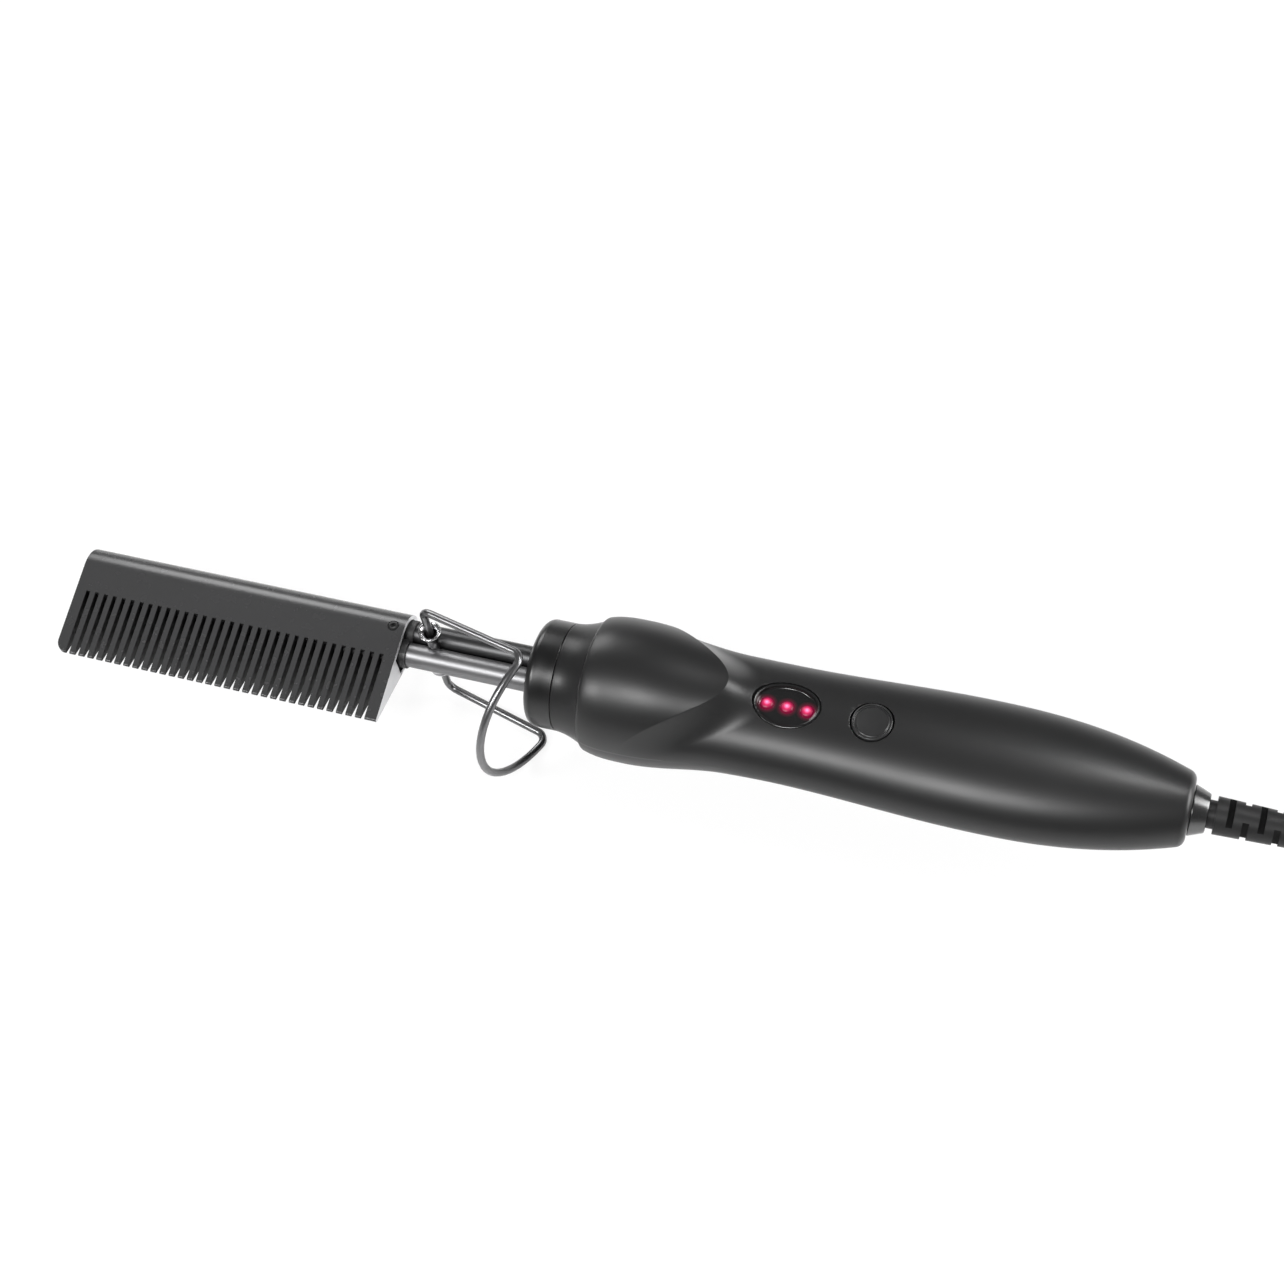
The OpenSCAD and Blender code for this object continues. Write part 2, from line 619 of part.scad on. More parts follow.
carrier_x = tail_x - 17.8;
carrier_t = 2;
carrier_h = 10;
post_r = 2.2;
post_xs = [board_x0 + 4, board_x0 + board_l - 4];
screw_top = 5;
head_h = 1.3;
module handle_lower() {
    color("#2e2e2f") difference() {
        union() {
            half_shell(-1);
            for (x = boss_xs) translate([x, 0, -lower_at(x, 0, shell_wall / 2)[1]])
                cylinder(r = boss_r + 0.6, h = lower_at(x, 0, shell_wall / 2)[1] - seat_gap / 2);
            for (x = post_xs) translate([x, 0, -lower_at(x, 0, shell_wall / 2)[1]])
                cylinder(r = post_r, h = lower_at(x, 0, shell_wall / 2)[1] + board_z - board_t - 0.02);
            translate([carrier_x, -3, -lower_at(carrier_x, 0, shell_wall / 2)[1]])
                cube([carrier_t, 6, lower_at(carrier_x, 0, shell_wall / 2)[1] - carrier_h / 2 - 0.02]);
        }
        for (x = boss_xs) translate([x, 0, -bulb_r - 1]) {
            cylinder(r = screw_r + pilot_gap, h = bulb_r + 2);
            cylinder(r = screw_head_r + seat_gap, h = bulb_r + 1 - head_seat(x));
        }
        for (x = post_xs) translate([x, 0, board_z - board_t - 4]) cylinder(r = 0.84, h = 5);
        rod(tail_x - 2 * end_wall, tail_x + 1, hole_r);
    }
}

// Depth of a screw head's seat below the axis
function head_seat(x) = lower_at(x, 0, 0)[1] - head_h - 0.9;
module handle_screws() {
    color("#9a9a9c") for (x = boss_xs) translate([x, 0, 0]) difference() {
        union() {
            translate([0, 0, -head_seat(x) - head_h]) cylinder(r = screw_head_r, h = head_h);
            translate([0, 0, -head_seat(x)]) cylinder(r = screw_r, h = head_seat(x) + screw_top);
        }
        translate([0, 0, -head_seat(x) - head_h - 1]) for (q = [0, 90]) rotate(q)
            translate([-screw_head_r * 0.6, -0.3, 0]) cube([screw_head_r * 1.2, 0.6, 1.7]);
    }
}

// ---- window, lights and button ----
window_sag = oval(window_x, 0)[1] - oval(window_x, asin(window_w / waist_w))[1];
window_rim = half_top(window_x) - window_sag - window_gap;
window_floor = half_top(window_x) - window_deep - window_gap;
led_top = window_floor + led_d * 0.35;
module indicator_window() {
    // An open dish with a hole for each light, its rim cut to the shell's curve
    color("#0b0b0c") difference() {
        intersection() {
            window_prism(0, window_floor - window_t, waist_t);
            translate([window_x - window_l, 0, 0]) rotate([0, 90, 0]) rotate([0, 0, 90])
                linear_extrude(2 * window_l) polygon([for (a = [-60 : 5 : 60])
                    [half_w(window_x) * sin(a), (half_top(window_x) - window_gap) * cos(a)],
                    [-half_w(window_x), -1], [half_w(window_x), -1]]);
        }
        window_prism(-window_t * 0.8, window_floor, waist_t);
        for (i = [-1 : 1]) translate([window_x + i * led_pitch, 0, window_floor - window_t - 1])
            cylinder(d = led_d + 0.1, h = window_t + 2);
    }
}

module indicator_lights() {
    color("#ff3b6e") for (i = [-1 : 1]) translate([window_x + i * led_pitch, 0, board_z + 0.02]) {
        cylinder(d = led_d, h = led_top - board_z - led_d / 2);
        translate([0, 0, led_top - board_z - led_d / 2 - 0.02]) intersection() {
            sphere(d = led_d);
            translate([0, 0, led_d / 2 - 0.1]) cube([led_d, led_d, led_d + 0.2], center = true);
        }
    }
}

button_top = half_top(button_x) - 0.05;
plunger_r = 1.6;
switch_h = 3.2;
plunger_top = board_z + switch_h + 1;
module power_button() {
    rim_t = 1.6;
    dish_r = 18;
    skirt = shell_wall + button_travel + 0.6;
    stem_r = 2;
    color("#1a1a1b") translate([button_x, 0, 0]) difference() {
        union() {
            translate([0, 0, button_top - rim_t]) cylinder(d = button_d, h = rim_t);
            translate([0, 0, button_top - skirt]) difference() {
                cylinder(d = button_d - 0.4, h = skirt - rim_t + 0.1);
                translate([0, 0, -1]) cylinder(d = button_d - 2.4, h = skirt - rim_t + 1);
            }
            translate([0, 0, plunger_top + 0.02]) cylinder(r = stem_r, h = button_top - plunger_top - rim_t);
        }
        translate([0, 0, button_top + dish_r - 0.25]) sphere(r = dish_r, $fn = 96);
    }
}

module switch_plunger() {
    color("#d8d8d8") translate([button_x, 0, board_z + 1.6 + button_travel])
        cylinder(r = plunger_r, h = plunger_top - board_z - 1.6 - button_travel);
}

module button_switch() {
    side = 6;
    color("#1c1c1c") difference() {
        translate([button_x - side / 2, -side / 2, board_z + 0.02]) cube([side, side, switch_h - 0.02]);
        translate([button_x, 0, board_z + 1.55]) cylinder(r = plunger_r + 0.05, h = switch_h);
    }
}

// ---- board and what it carries ----
module circuit_board() {
    color("#1f5a3a") difference() {
        translate([board_x0, -board_w / 2, board_z - board_t]) cube([board_l, board_w, board_t]);
        for (x = post_xs) translate([x, 0, 0]) cylinder(r = 1.1, h = board_z + 1);
    }
}
module board_screws() {
    color("#9a9a9c") for (x = post_xs) translate([x, 0, board_z + 0.02]) {
        translate([0, 0, -board_t - 3]) cylinder(r = 0.8, h = board_t + 3.1);
        cylinder(r = 1.8, h = 1.2);
    }
}
module triac() {
    color("#1b1b1c") translate([button_x + 12, -6.5, board_z + 0.02]) difference() {
        cube([16, 10, 4.2]);
        translate([13, 5, -1]) cylinder(r = 1.6, h = 7);
        translate([10, -1, 1.4]) cube([10, 12, 4]);
    }
}
module capacitor() {
    size = [13, 10, 6];
    color("#2b3a55") translate([button_x + 8, -size[1] / 2, board_z - board_t - 0.02 - size[2]])
        cube(size);
}

fuse_r = 2;
fuse_len = 9.5;
fuse_x = tube_in_handle + 5;
lead_r = 0.8;
lead_y = 6;
lead_z = board_z + lead_r + 0.02;
module thermal_fuse() {
    color("#c8c8c4") rod(fuse_x, fuse_x + fuse_len, fuse_r, lead_y, lead_z);
}

module lead(p) {
    tube(rounded_path(p, [for (q = p) 1.5], 2), 2 * lead_r, 8);
}

module heater_leads() {
    ptc_x = heater_x0 + 3 + ptc_len;
    pad_x = board_x0 + 7;
    color("#d8d4c4") {
        lead([[ptc_x, tube_y, 0], [tube_in_handle + 1, tube_y, 0], [fuse_x - 1, lead_y, lead_z],
            [fuse_x, lead_y, lead_z]]);
        rod(fuse_x + fuse_len, pad_x, lead_r, lead_y, lead_z);
        lead([[ptc_x, 0, 0], [heater_x1 + 0.5, 0, 0], [mount_x0 - 0.5, -tube_y, 0],
            [tube_in_handle + 1, -tube_y, 0], [fuse_x - 1, -lead_y, lead_z], [pad_x, -lead_y, lead_z]]);
    }
}

// ---- cord swivel: a stepped barrel with two rings turns against two blades ----
barrel_x = carrier_x + carrier_t + 0.3;
flange_x = tail_x - end_wall - 0.1;
ring_r = [3.2, 4.1];
ring_x = [barrel_x + 2, barrel_x + 7];
ring_w = 2;
blade_t = 0.4;
module supply_leads() {
    from_x = board_x0 + board_l - 5;
    color("#3a3a3d") for (s = [-1, 1])
        lead([[from_x, s * 5.5, lead_z], [from_x + 7, s * 5.5, lead_z],
            [carrier_x - 3, s * (boss_r + 2), 1.5], [carrier_x, s * (boss_r + 2), 1.5]]);
}

module contact_carrier() {
    color("#c9bfa8") difference() {
        translate([carrier_x, -7, -carrier_h / 2]) cube([carrier_t, 14, carrier_h]);
        for (i = [0, 1]) contact_blade(i, 0.02);
    }
}

module contact_blade(i, grow = 0) {
    side = i == 0 ? 1 : -1;
    y = ring_r[i] + 0.05;
    x0 = carrier_x + 0.6;
    translate([x0 - grow, side > 0 ? y - grow : -y - blade_t - grow, -1 - grow])
        cube([ring_x[i] + ring_w - x0 + 2 * grow, blade_t + 2 * grow, 2 + 2 * grow]);
}
module contact_blades() { color("#c9a24a") for (i = [0, 1]) contact_blade(i); }

module swivel_body() {
    barrel_r = [2.7, 3.6];
    step_x = ring_x[1] - 1;
    color("#38383a") difference() {
        union() {
            rod(barrel_x, step_x, barrel_r[0]);
            rod(step_x, flange_x, barrel_r[1]);
            rod(flange_x - 1.4, flange_x, 5.2);
            rod(flange_x - 0.1, cone_x + 0.1, swivel_r);
            rod(cone_x, relief_x, cone_r, r2 = cone_r - 1.3);
        }
        for (i = [0, 1]) rod(ring_x[i], ring_x[i] + ring_w, ring_r[i] + 1);
    }
    color("#38383a") for (i = [0, 1]) rod(ring_x[i] - 0.01, ring_x[i] + ring_w + 0.01, barrel_r[i] - 0.5);
}

module slip_rings() {
    color("#c9a24a") for (i = [0, 1]) difference() {
        rod(ring_x[i] + 0.02, ring_x[i] + ring_w - 0.02, ring_r[i]);
        rod(ring_x[i] - 1, ring_x[i] + ring_w + 1, [2.2, 3.1][i] + 0.02);
    }
}

relief_neck = 1.6;
relief_end_r = cord_d / 2 + 0.6;
relief_core = 2.3;
module strain_relief() {
    // Slots take turns: one pair cut from front and back, the next from the two sides
    first = relief_x + relief_neck + 2.6;
    count = floor((exit_x - 4 - first) / relief_pitch);
    color("#262627") difference() {
        union() {
            rod(relief_x, relief_x + relief_neck + 0.1, 3.2);
            rod(relief_x + relief_neck, exit_x, relief_r, r2 = relief_end_r);
        }
        for (i = [0 : count - 1]) let (x = first + i * relief_pitch) for (s = [0, 180])
            rotate([s + (i % 2 == 0 ? 0 : 90), 0, 0])
                translate([x, -relief_r - 1, relief_core])
                    cube([relief_slot, 2 * relief_r + 2, relief_r + 1]);
    }
}

// ---- tied hank: four layers that spiral in and out, each climb along a run ----
hank_y = -3.7;
hank_in = 70;
turn = 24;
hank_step = cord_d + hank_gap;
hank_turns = [0, 19 / 12, 37 / 12, 55 / 12, 17 / 3];
hank_x = exit_x + hank_in + cord_d;
tie_w = 12;
tie_t = 1.2;
hank_low = cord_d / 2 + tie_t + 0.1 - axis_h;
function hank_r(u) = hank_fold + hank_step * (u < hank_turns[2] ? abs(u - hank_turns[1])
    : abs(u - hank_turns[3]));
function hank_z(u) = hank_low + hank_step * (clamp01((u - hank_turns[1]) * 6 + 0.5)
    + clamp01((u - hank_turns[2]) * 6 + 0.5) + clamp01((u - hank_turns[3]) * 6 + 0.5));
function hank_at(u) = let (s = turn * (u - floor(u + 0.0001)), r = hank_r(u),
        f = s <= 4 ? s / 4 : s <= 12 ? 1 : s <= 16 ? (16 - s) / 4 : 0,
        a = s <= 4 ? 90 : s <= 12 ? 90 - 22.5 * (s - 4) : s <= 16 ? -90 : -90 - 22.5 * (s - 16),
        w = r - hank_waist * (1 - cos(360 * f)) / 2)
    [hank_x + hank_run * f + (f == 0 || f == 1 ? r * cos(a) : 0), hank_y + w * sin(a), hank_z(u)];
hank_end = hank_turns[4];
hank_start_at = hank_at(0);
hank_stop_at = hank_at(hank_end);
hank_route = concat([hank_start_at - [cord_d, 0, 0]],
    [for (i = [0 : round(turn * hank_end)]) hank_at(i / turn)], [hank_stop_at - [cord_d, 0, 0]]);
hank_least = min([for (i = [0 : len(hank_route) - 1], j = [i + 8 : 1 : len(hank_route) - 1])
    norm(hank_route[i] - hank_route[j])]) - cord_d;
module cord_hank() {
    echo(least_gap = hank_least, hank_length = route_len(hank_route));
    color("#1c1c1d") tube(hank_route, cord_d, 6);
}

// The free stretch leaves the relief straight and comes down to the floor: way along, share of the fall
lead_steps = [[0, 0], [5, 0], [15, 0.07], [25, 0.26], [35, 0.5], [45, 0.74], [55, 0.93], [65, 1], [70, 1]];
lead_route = [for (q = lead_steps) [exit_x + q[0], hank_route[0][1] * q[1], hank_low * q[1]]];
module cord_lead() { color("#1c1c1d") tube(lead_route, cord_d, 10); }

// The last stretch goes round the near fold, rises over the hank and lays the plug on it
plug_y = 4;
plug_z = hank_low + 3 * hank_step + cord_d / 2 + 0.3 + plug_t / 2;
tail_steps = [[10, 0.14], [20, 0.43], [30, 0.76], [38, 0.95], [44, 1], [50, 1]];
tail_start = hank_route[len(hank_route) - 1];
tail_from = tail_start - [3, 0, 0];
tail_r = hank_y - tail_from[1];
tail_route = concat([tail_start],
    [for (i = [0 : 9]) tail_from + [-tail_r * sin(20 * i), tail_r * (1 - cos(20 * i)), hank_step * i / 9]],
    [for (q = tail_steps) [tail_from[0] + q[0], mix(hank_y + tail_r, plug_y, q[1]),
        mix(tail_from[2] + hank_step, plug_z, q[1])]]);
module cord_tail() {
    echo(cord_length = route_len(lead_route) + route_len(hank_route) + route_len(tail_route));
    color("#1c1c1d") tube(tail_route, cord_d, 10);
}

module cord_tie() {
    w = 2 * (hank_r(0) - hank_waist) + cord_d + 0.6;
    h = 3 * hank_step + cord_d + 0.2;
    color("#101010") translate([hank_x + hank_run / 2 - tie_w / 2, hank_y, hank_low - cord_d / 2 + h / 2 - 0.1])
        difference() {
            along_axis(0, tie_w) rounded([h + 2 * tie_t, w + 2 * tie_t], cord_d / 2 + tie_t);
            along_axis(-1, tie_w + 1) rounded([h, w], cord_d / 2);
        }
}
module rounded(size, r) {
    square([size[0] - 2 * r, size[1]], center = true);
    square([size[0], size[1] - 2 * r], center = true);
    for (i = [-1, 1], j = [-1, 1])
        translate([i * (size[0] / 2 - r), j * (size[1] / 2 - r)]) circle(r = r);
}

// ---- plug ----
plug_x = tail_route[len(tail_route) - 1][0];
plug_relief = 20;
module plug_body() {
    body_x = plug_x + plug_relief;
    color("#1a1a1b") translate([0, plug_y, plug_z]) difference() {
        union() {
            rod(plug_x, body_x + 0.1, cord_d / 2 + 0.6, r2 = 4.6);
            translate([body_x, 0, -plug_t / 2]) linear_extrude(plug_t) polygon(concat(
                [[plug_l, -plug_w / 2], [plug_l, plug_w / 2], [plug_l * 0.45, plug_w / 2]],
                [for (i = [1 : 6]) [plug_l * 0.45 * (1 - sin(15 * i)), mix(8, plug_w / 2, cos(15 * i))]],
                [for (i = [6 : -1 : 1]) [plug_l * 0.45 * (1 - sin(15 * i)), -mix(8, plug_w / 2, cos(15 * i))]],
                [[plug_l * 0.45, -plug_w / 2]]));
        }
        for (s = [-1, 1]) translate([body_x, s * plug_pin_gap / 2, 0])
            rod(plug_l - 8, plug_l + 1, plug_pin_r * 0.8 + 0.01);
        for (s = [-1, 1], i = [0 : 3]) translate([body_x + 14 + 3.4 * i, s * (plug_w / 2 + 0.6), 0])
            cylinder(r = 1.1, h = plug_t + 2, center = true);
    }
}

module plug_pins() {
    x = plug_x + plug_relief + plug_l;
    color("#c8c8cc") translate([0, plug_y, plug_z]) for (s = [-1, 1])
        translate([0, s * plug_pin_gap / 2, 0]) {
            rod(x - 8, x + 0.1, plug_pin_r * 0.8);
            rod(x, x + plug_pin_l - 1.2, plug_pin_r);
            rod(x + plug_pin_l - 1.2, x + plug_pin_l, plug_pin_r, r2 = plug_pin_r - 0.9);
        }
}

seated() comb_shell();
seated() comb_screw();
seated() heater_bar();
seated() ptc_element();
seated() comb_mount();
seated() stem_tube_spine();
seated() stem_tube_teeth();
seated() pivot_bush();
seated() wire_stand();
seated() front_collar();
seated() neck_ring();
seated() stem_clamp();
seated() handle_upper();
seated() handle_lower();
seated() handle_screws();
seated() indicator_window();
seated() indicator_lights();
seated() power_button();
seated() switch_plunger();
seated() button_switch();
seated() circuit_board();
seated() board_screws();
seated() triac();
seated() capacitor();
seated() thermal_fuse();
seated() heater_leads();
seated() supply_leads();
seated() contact_carrier();
seated() contact_blades();
seated() swivel_body();
seated() slip_rings();
seated() strain_relief();
seated() cord_lead();
seated() cord_hank();
seated() cord_tail();
seated() cord_tie();
seated() plug_body();
seated() plug_pins();
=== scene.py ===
import json
import math

import bmesh
import bpy
from mathutils import Matrix, Vector


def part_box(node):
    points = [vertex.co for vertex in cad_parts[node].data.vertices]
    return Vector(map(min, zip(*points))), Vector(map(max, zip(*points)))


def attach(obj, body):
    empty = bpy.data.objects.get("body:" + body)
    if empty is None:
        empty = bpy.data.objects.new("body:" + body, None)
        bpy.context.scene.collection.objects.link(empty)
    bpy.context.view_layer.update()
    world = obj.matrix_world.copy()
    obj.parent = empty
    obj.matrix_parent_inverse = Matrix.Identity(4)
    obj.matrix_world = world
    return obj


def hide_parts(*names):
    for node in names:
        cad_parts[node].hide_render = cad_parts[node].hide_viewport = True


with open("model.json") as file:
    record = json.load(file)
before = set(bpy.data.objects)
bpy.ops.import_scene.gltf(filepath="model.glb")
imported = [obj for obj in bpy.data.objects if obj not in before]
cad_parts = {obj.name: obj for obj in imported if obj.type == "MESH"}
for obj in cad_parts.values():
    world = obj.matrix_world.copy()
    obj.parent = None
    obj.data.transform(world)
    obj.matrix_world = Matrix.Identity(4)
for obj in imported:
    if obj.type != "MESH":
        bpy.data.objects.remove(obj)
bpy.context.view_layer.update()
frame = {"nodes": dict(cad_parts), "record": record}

bpy.ops.object.select_all(action="DESELECT")
print("frame loaded:", len(frame["nodes"]), "nodes")

# All sizes are millimetres from the seam between collar and neck: x to the cord, y to the comb's spine,
# z out of the button's face
mm = 0.001
collarLow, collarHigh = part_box("front_collar")
seam = Vector((collarHigh.x, (collarLow.y + collarHigh.y) / 2, (collarLow.z + collarHigh.z) / 2))
axisHeight = seam.z / mm
xAxis, zAxis = (1, 0, 0), (0, 0, 1)


def spot(x, y=0.0, z=0.0):
    return seam + Vector((x, y, z)) * mm


def mix(a, b, share):
    return a + (b - a) * share


def clamp(value, low=0.0, high=1.0):
    return max(low, min(high, value))


def ease(share):
    return (1 - math.cos(math.pi * clamp(share))) / 2


# The camera stands where the photograph was taken from
view = {"azimuth": 26.77, "elevation": 58.39, "roll": -11.54, "distance": 524.4, "lens": 63.06,
        "sensor": 36, "aimAlong": 18.4, "aimUp": 12.14}


def makeCamera():
    turn, tilt, roll = (math.radians(view[k]) for k in ("azimuth", "elevation", "roll"))
    ahead = Vector((-math.sin(turn) * math.cos(tilt), math.cos(turn) * math.cos(tilt), -math.sin(tilt)))
    flat = Vector((math.cos(turn), math.sin(turn), 0))
    rise = flat.cross(ahead)
    right = flat * math.cos(roll) + rise * math.sin(roll)
    up = rise * math.cos(roll) - flat * math.sin(roll)
    place = spot(view["aimAlong"]) + (up * view["aimUp"] - ahead * view["distance"]) * mm
    bpy.ops.object.camera_add(location=place)
    camera = bpy.context.object
    camera.name = "photoCamera"
    camera.rotation_euler = Matrix((right, up, -ahead)).transposed().to_euler()
    camera.data.lens = view["lens"]
    camera.data.sensor_width = view["sensor"]
    camera.data.clip_start = 10 * mm
    bpy.context.scene.camera = camera


makeCamera()
print("camera placed")


def setStops(ramp, stops):
    while len(ramp.elements) < len(stops):
        ramp.elements.new(0.5)
    for element, (place, colour) in zip(ramp.elements, stops):
        element.position, element.color = place, (*colour, 1)


class Signal:
    # One shader socket that takes part in sums
    def __init__(self, look, socket):
        self.look, self.socket = look, socket

    def __add__(self, other):
        return self.look.math("ADD", self, other)

    def __radd__(self, other):
        return self.look.math("ADD", other, self)

    def __sub__(self, other):
        return self.look.math("SUBTRACT", self, other)

    def __mul__(self, other):
        return self.look.math("MULTIPLY", self, other)

    def __truediv__(self, other):
        return self.look.math("DIVIDE", self, other)

    def __pow__(self, other):
        return self.look.math("POWER", self, other)


class Look:
    # One material and its nodes
    def __init__(self, name):
        self.material = bpy.data.materials.new(name)
        self.material.use_nodes = True
        self.nodes = self.material.node_tree.nodes
        self.links = self.material.node_tree.links
        self.shader = self.nodes["Principled BSDF"]

    def node(self, kind, settings=None, inputs=None, output=0):
        made = self.nodes.new(kind)
        for key, value in (settings or {}).items():
            if key == "stops":
                setStops(made.color_ramp, value)
            else:
                setattr(made, key, value)
        for key, value in (inputs or {}).items():
            self.feed(made.inputs[key], value)
        return Signal(self, made.outputs[output])

    def feed(self, socket, value):
        if isinstance(value, Signal):
            self.links.new(value.socket, socket)
        elif isinstance(value, tuple) and len(value) == 3 and socket.type == "RGBA":
            socket.default_value = (*value, 1)
        else:
            socket.default_value = value

    def set(self, **values):
        for key, value in values.items():
            words = "".join(" " + c if c.isupper() else c for c in key).strip()
            self.feed(self.shader.inputs[words], value)  # BaseColor is the socket Base Color

    def place(self):
        return self.node("ShaderNodeTexCoord", output="Object")

    def axis(self, letter):
        return self.node("ShaderNodeSeparateXYZ", inputs={0: self.place()}, output="XYZ".index(letter))

    def noise(self, size, detail=2, stretch=(1, 1, 1)):
        vector = self.place()
        if stretch != (1, 1, 1):
            vector = self.node("ShaderNodeMapping", inputs={"Vector": vector, "Scale": stretch})
        return self.node("ShaderNodeTexNoise", inputs={
            "Vector": vector, "Scale": 1 / (size * mm), "Detail": detail})

    def blend(self, share, first, second):
        return self.node("ShaderNodeMix", {"data_type": "RGBA"}, {0: share, 6: first, 7: second}, output=2)

    def math(self, operation, first, second=0.0):
        return self.node("ShaderNodeMath", {"operation": operation}, {0: first, 1: second})

    def ramp(self, share, *stops):
        return self.node("ShaderNodeValToRGB", {"stops": stops}, {0: share})

    def bump(self, height, depth):
        self.feed(self.shader.inputs["Normal"], self.node("ShaderNodeBump", inputs={
            "Height": height, "Distance": depth * mm, "Strength": 1.0}))


def grey(value):
    return (value, value, value * 1.02)


# A plain finish: two tones in soft patches, a roughness that wanders, and a grain that stands out by its
# depth. Patch, grain and depth are millimetres
def finish(name, dark, light, patch, rough, wander, grain, depth, metal=0.0, stretch=(1, 1, 1), shine=0.5):
    look = Look(name)
    patches = look.noise(patch, 3, stretch)
    look.set(BaseColor=look.blend(patches, dark, light), Metallic=metal,
             Roughness=look.noise(patch * 0.4, 2, stretch) * wander + (rough - wander / 2))
    look.shader.inputs["Specular IOR Level"].default_value = shine
    look.bump(look.noise(grain, 2, stretch), depth)
    return look


looks = {}


def addLook(slot, look):
    looks[slot] = look.material


def plain(slot, name, *values, **more):
    addLook(slot, finish(name, *values, **more))


def dress(piece, slot, *more):
    piece.data.materials.clear()
    for name in (slot, *more):
        piece.data.materials.append(looks[name])


def paint(piece, slots, index):
    # Every face takes the look with that index
    dress(piece, *slots)
    for face in piece.data.polygons:
        face.material_index = index
    return piece


def belong(piece, body, slot, *nodes):
    # What the frame is told of a finished piece: the body it moves with, the nodes it stands for, its slot
    if not piece.data.materials:
        dress(piece, slot)
    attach(piece, body)
    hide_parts(*nodes)


plain("cord_jacket", "cordVinyl", grey(0.011), grey(0.016), 14, 0.42, 0.1, 0.5, 0.012)
plain("plug_vinyl", "plugVinyl", grey(0.011), grey(0.017), 9, 0.4, 0.1, 0.35, 0.02)
plain("plug_metal", "pinNickel", grey(0.52), grey(0.62), 2, 0.18, 0.1, 0.12, 0.002, 1.0,
      stretch=(0.2, 1, 1))


def clearSelection():
    if bpy.context.object and bpy.context.object.mode != "OBJECT":
        bpy.ops.object.mode_set(mode="OBJECT")
    bpy.ops.object.select_all(action="DESELECT")


def makeActive(piece):
    clearSelection()
    piece.select_set(True)
    bpy.context.view_layer.objects.active = piece


def settle(piece, name):
    makeActive(piece)
    bpy.ops.object.transform_apply(location=True, rotation=True, scale=True)
    piece.name = piece.data.name = name
    return piece


def applied(piece, kind, **settings):
    makeActive(piece)
    modifier = piece.modifiers.new(kind.lower(), kind)
    for key, value in settings.items():
        setattr(modifier, key, value)
    bpy.ops.object.modifier_apply(modifier=modifier.name)
    return piece


def smoothBy(piece, angle):
    makeActive(piece)
    bpy.ops.object.shade_smooth_by_angle(angle=math.radians(angle))
    return piece


def softEdges(piece, width, segments=2, angle=35, smooth=35):
    applied(piece, "BEVEL", width=width * mm, segments=segments, limit_method="ANGLE",
            angle_limit=math.radians(angle))
    return applied(smoothBy(piece, smooth), "WEIGHTED_NORMAL", keep_sharp=True)


def cutAway(piece, *cutters):
    for cutter in cutters:
        applied(piece, "BOOLEAN", operation="DIFFERENCE", object=cutter, solver="EXACT")
        bpy.data.objects.remove(cutter)
    return piece


def joinOn(piece, *others):
    for other in others:
        applied(piece, "BOOLEAN", operation="UNION", object=other, solver="EXACT")
        bpy.data.objects.remove(other)


def gather(pieces, name):
    clearSelection()
    for piece in pieces:
        piece.select_set(True)
    bpy.context.view_layer.objects.active = pieces[0]
    bpy.ops.object.join()
    return settle(bpy.context.object, name)


def squareUp(piece):
    makeActive(piece)
    bpy.ops.object.mode_set(mode="EDIT")
    bpy.ops.mesh.select_all(action="SELECT")
    bpy.ops.mesh.remove_doubles(threshold=1e-6)
    bpy.ops.mesh.normals_make_consistent(inside=False)
    bpy.ops.object.mode_set(mode="OBJECT")
    return piece


# A rod along the tool, or along z when upright
def rod(x0, x1, radius, y=0.0, z=0.0, sides=48, upright=False, farRadius=None):
    clearSelection()
    middle = spot(y, z, (x0 + x1) / 2) if upright else spot((x0 + x1) / 2, y, z)
    bpy.ops.mesh.primitive_cone_add(
        vertices=sides, radius1=radius * mm, radius2=(radius if farRadius is None else farRadius) * mm,
        depth=(x1 - x0) * mm, location=middle, rotation=(0, 0 if upright else math.pi / 2, 0))
    return settle(bpy.context.object, "rod")


def block(low, high):
    clearSelection()
    middle = [(a + b) / 2 for a, b in zip(low, high)]
    bpy.ops.mesh.primitive_cube_add(size=1, location=spot(*middle))
    bpy.context.object.scale = [(b - a) * mm for a, b in zip(low, high)]
    return settle(bpy.context.object, "block")


# A closed outline of (along, radius) points spun round an axis through the tool's axis at x
def turned(name, outline, steps=96, upright=False, x=0.0):
    clearSelection()
    bpy.ops.mesh.primitive_circle_add(vertices=len(outline), fill_type="NOTHING")
    piece = bpy.context.object
    for vertex, (along, radius) in zip(piece.data.vertices, outline):
        vertex.co = (x, radius, along) if upright else (along, radius, 0)
    bpy.ops.object.mode_set(mode="EDIT")
    bpy.ops.mesh.select_all(action="SELECT")
    bpy.ops.mesh.spin(steps=steps, angle=2 * math.pi, center=(x, 0, 0), axis=zAxis if upright else xAxis)
    bpy.ops.object.mode_set(mode="OBJECT")
    piece.scale = (mm, mm, mm)
    piece.location = seam
    return squareUp(settle(piece, name))


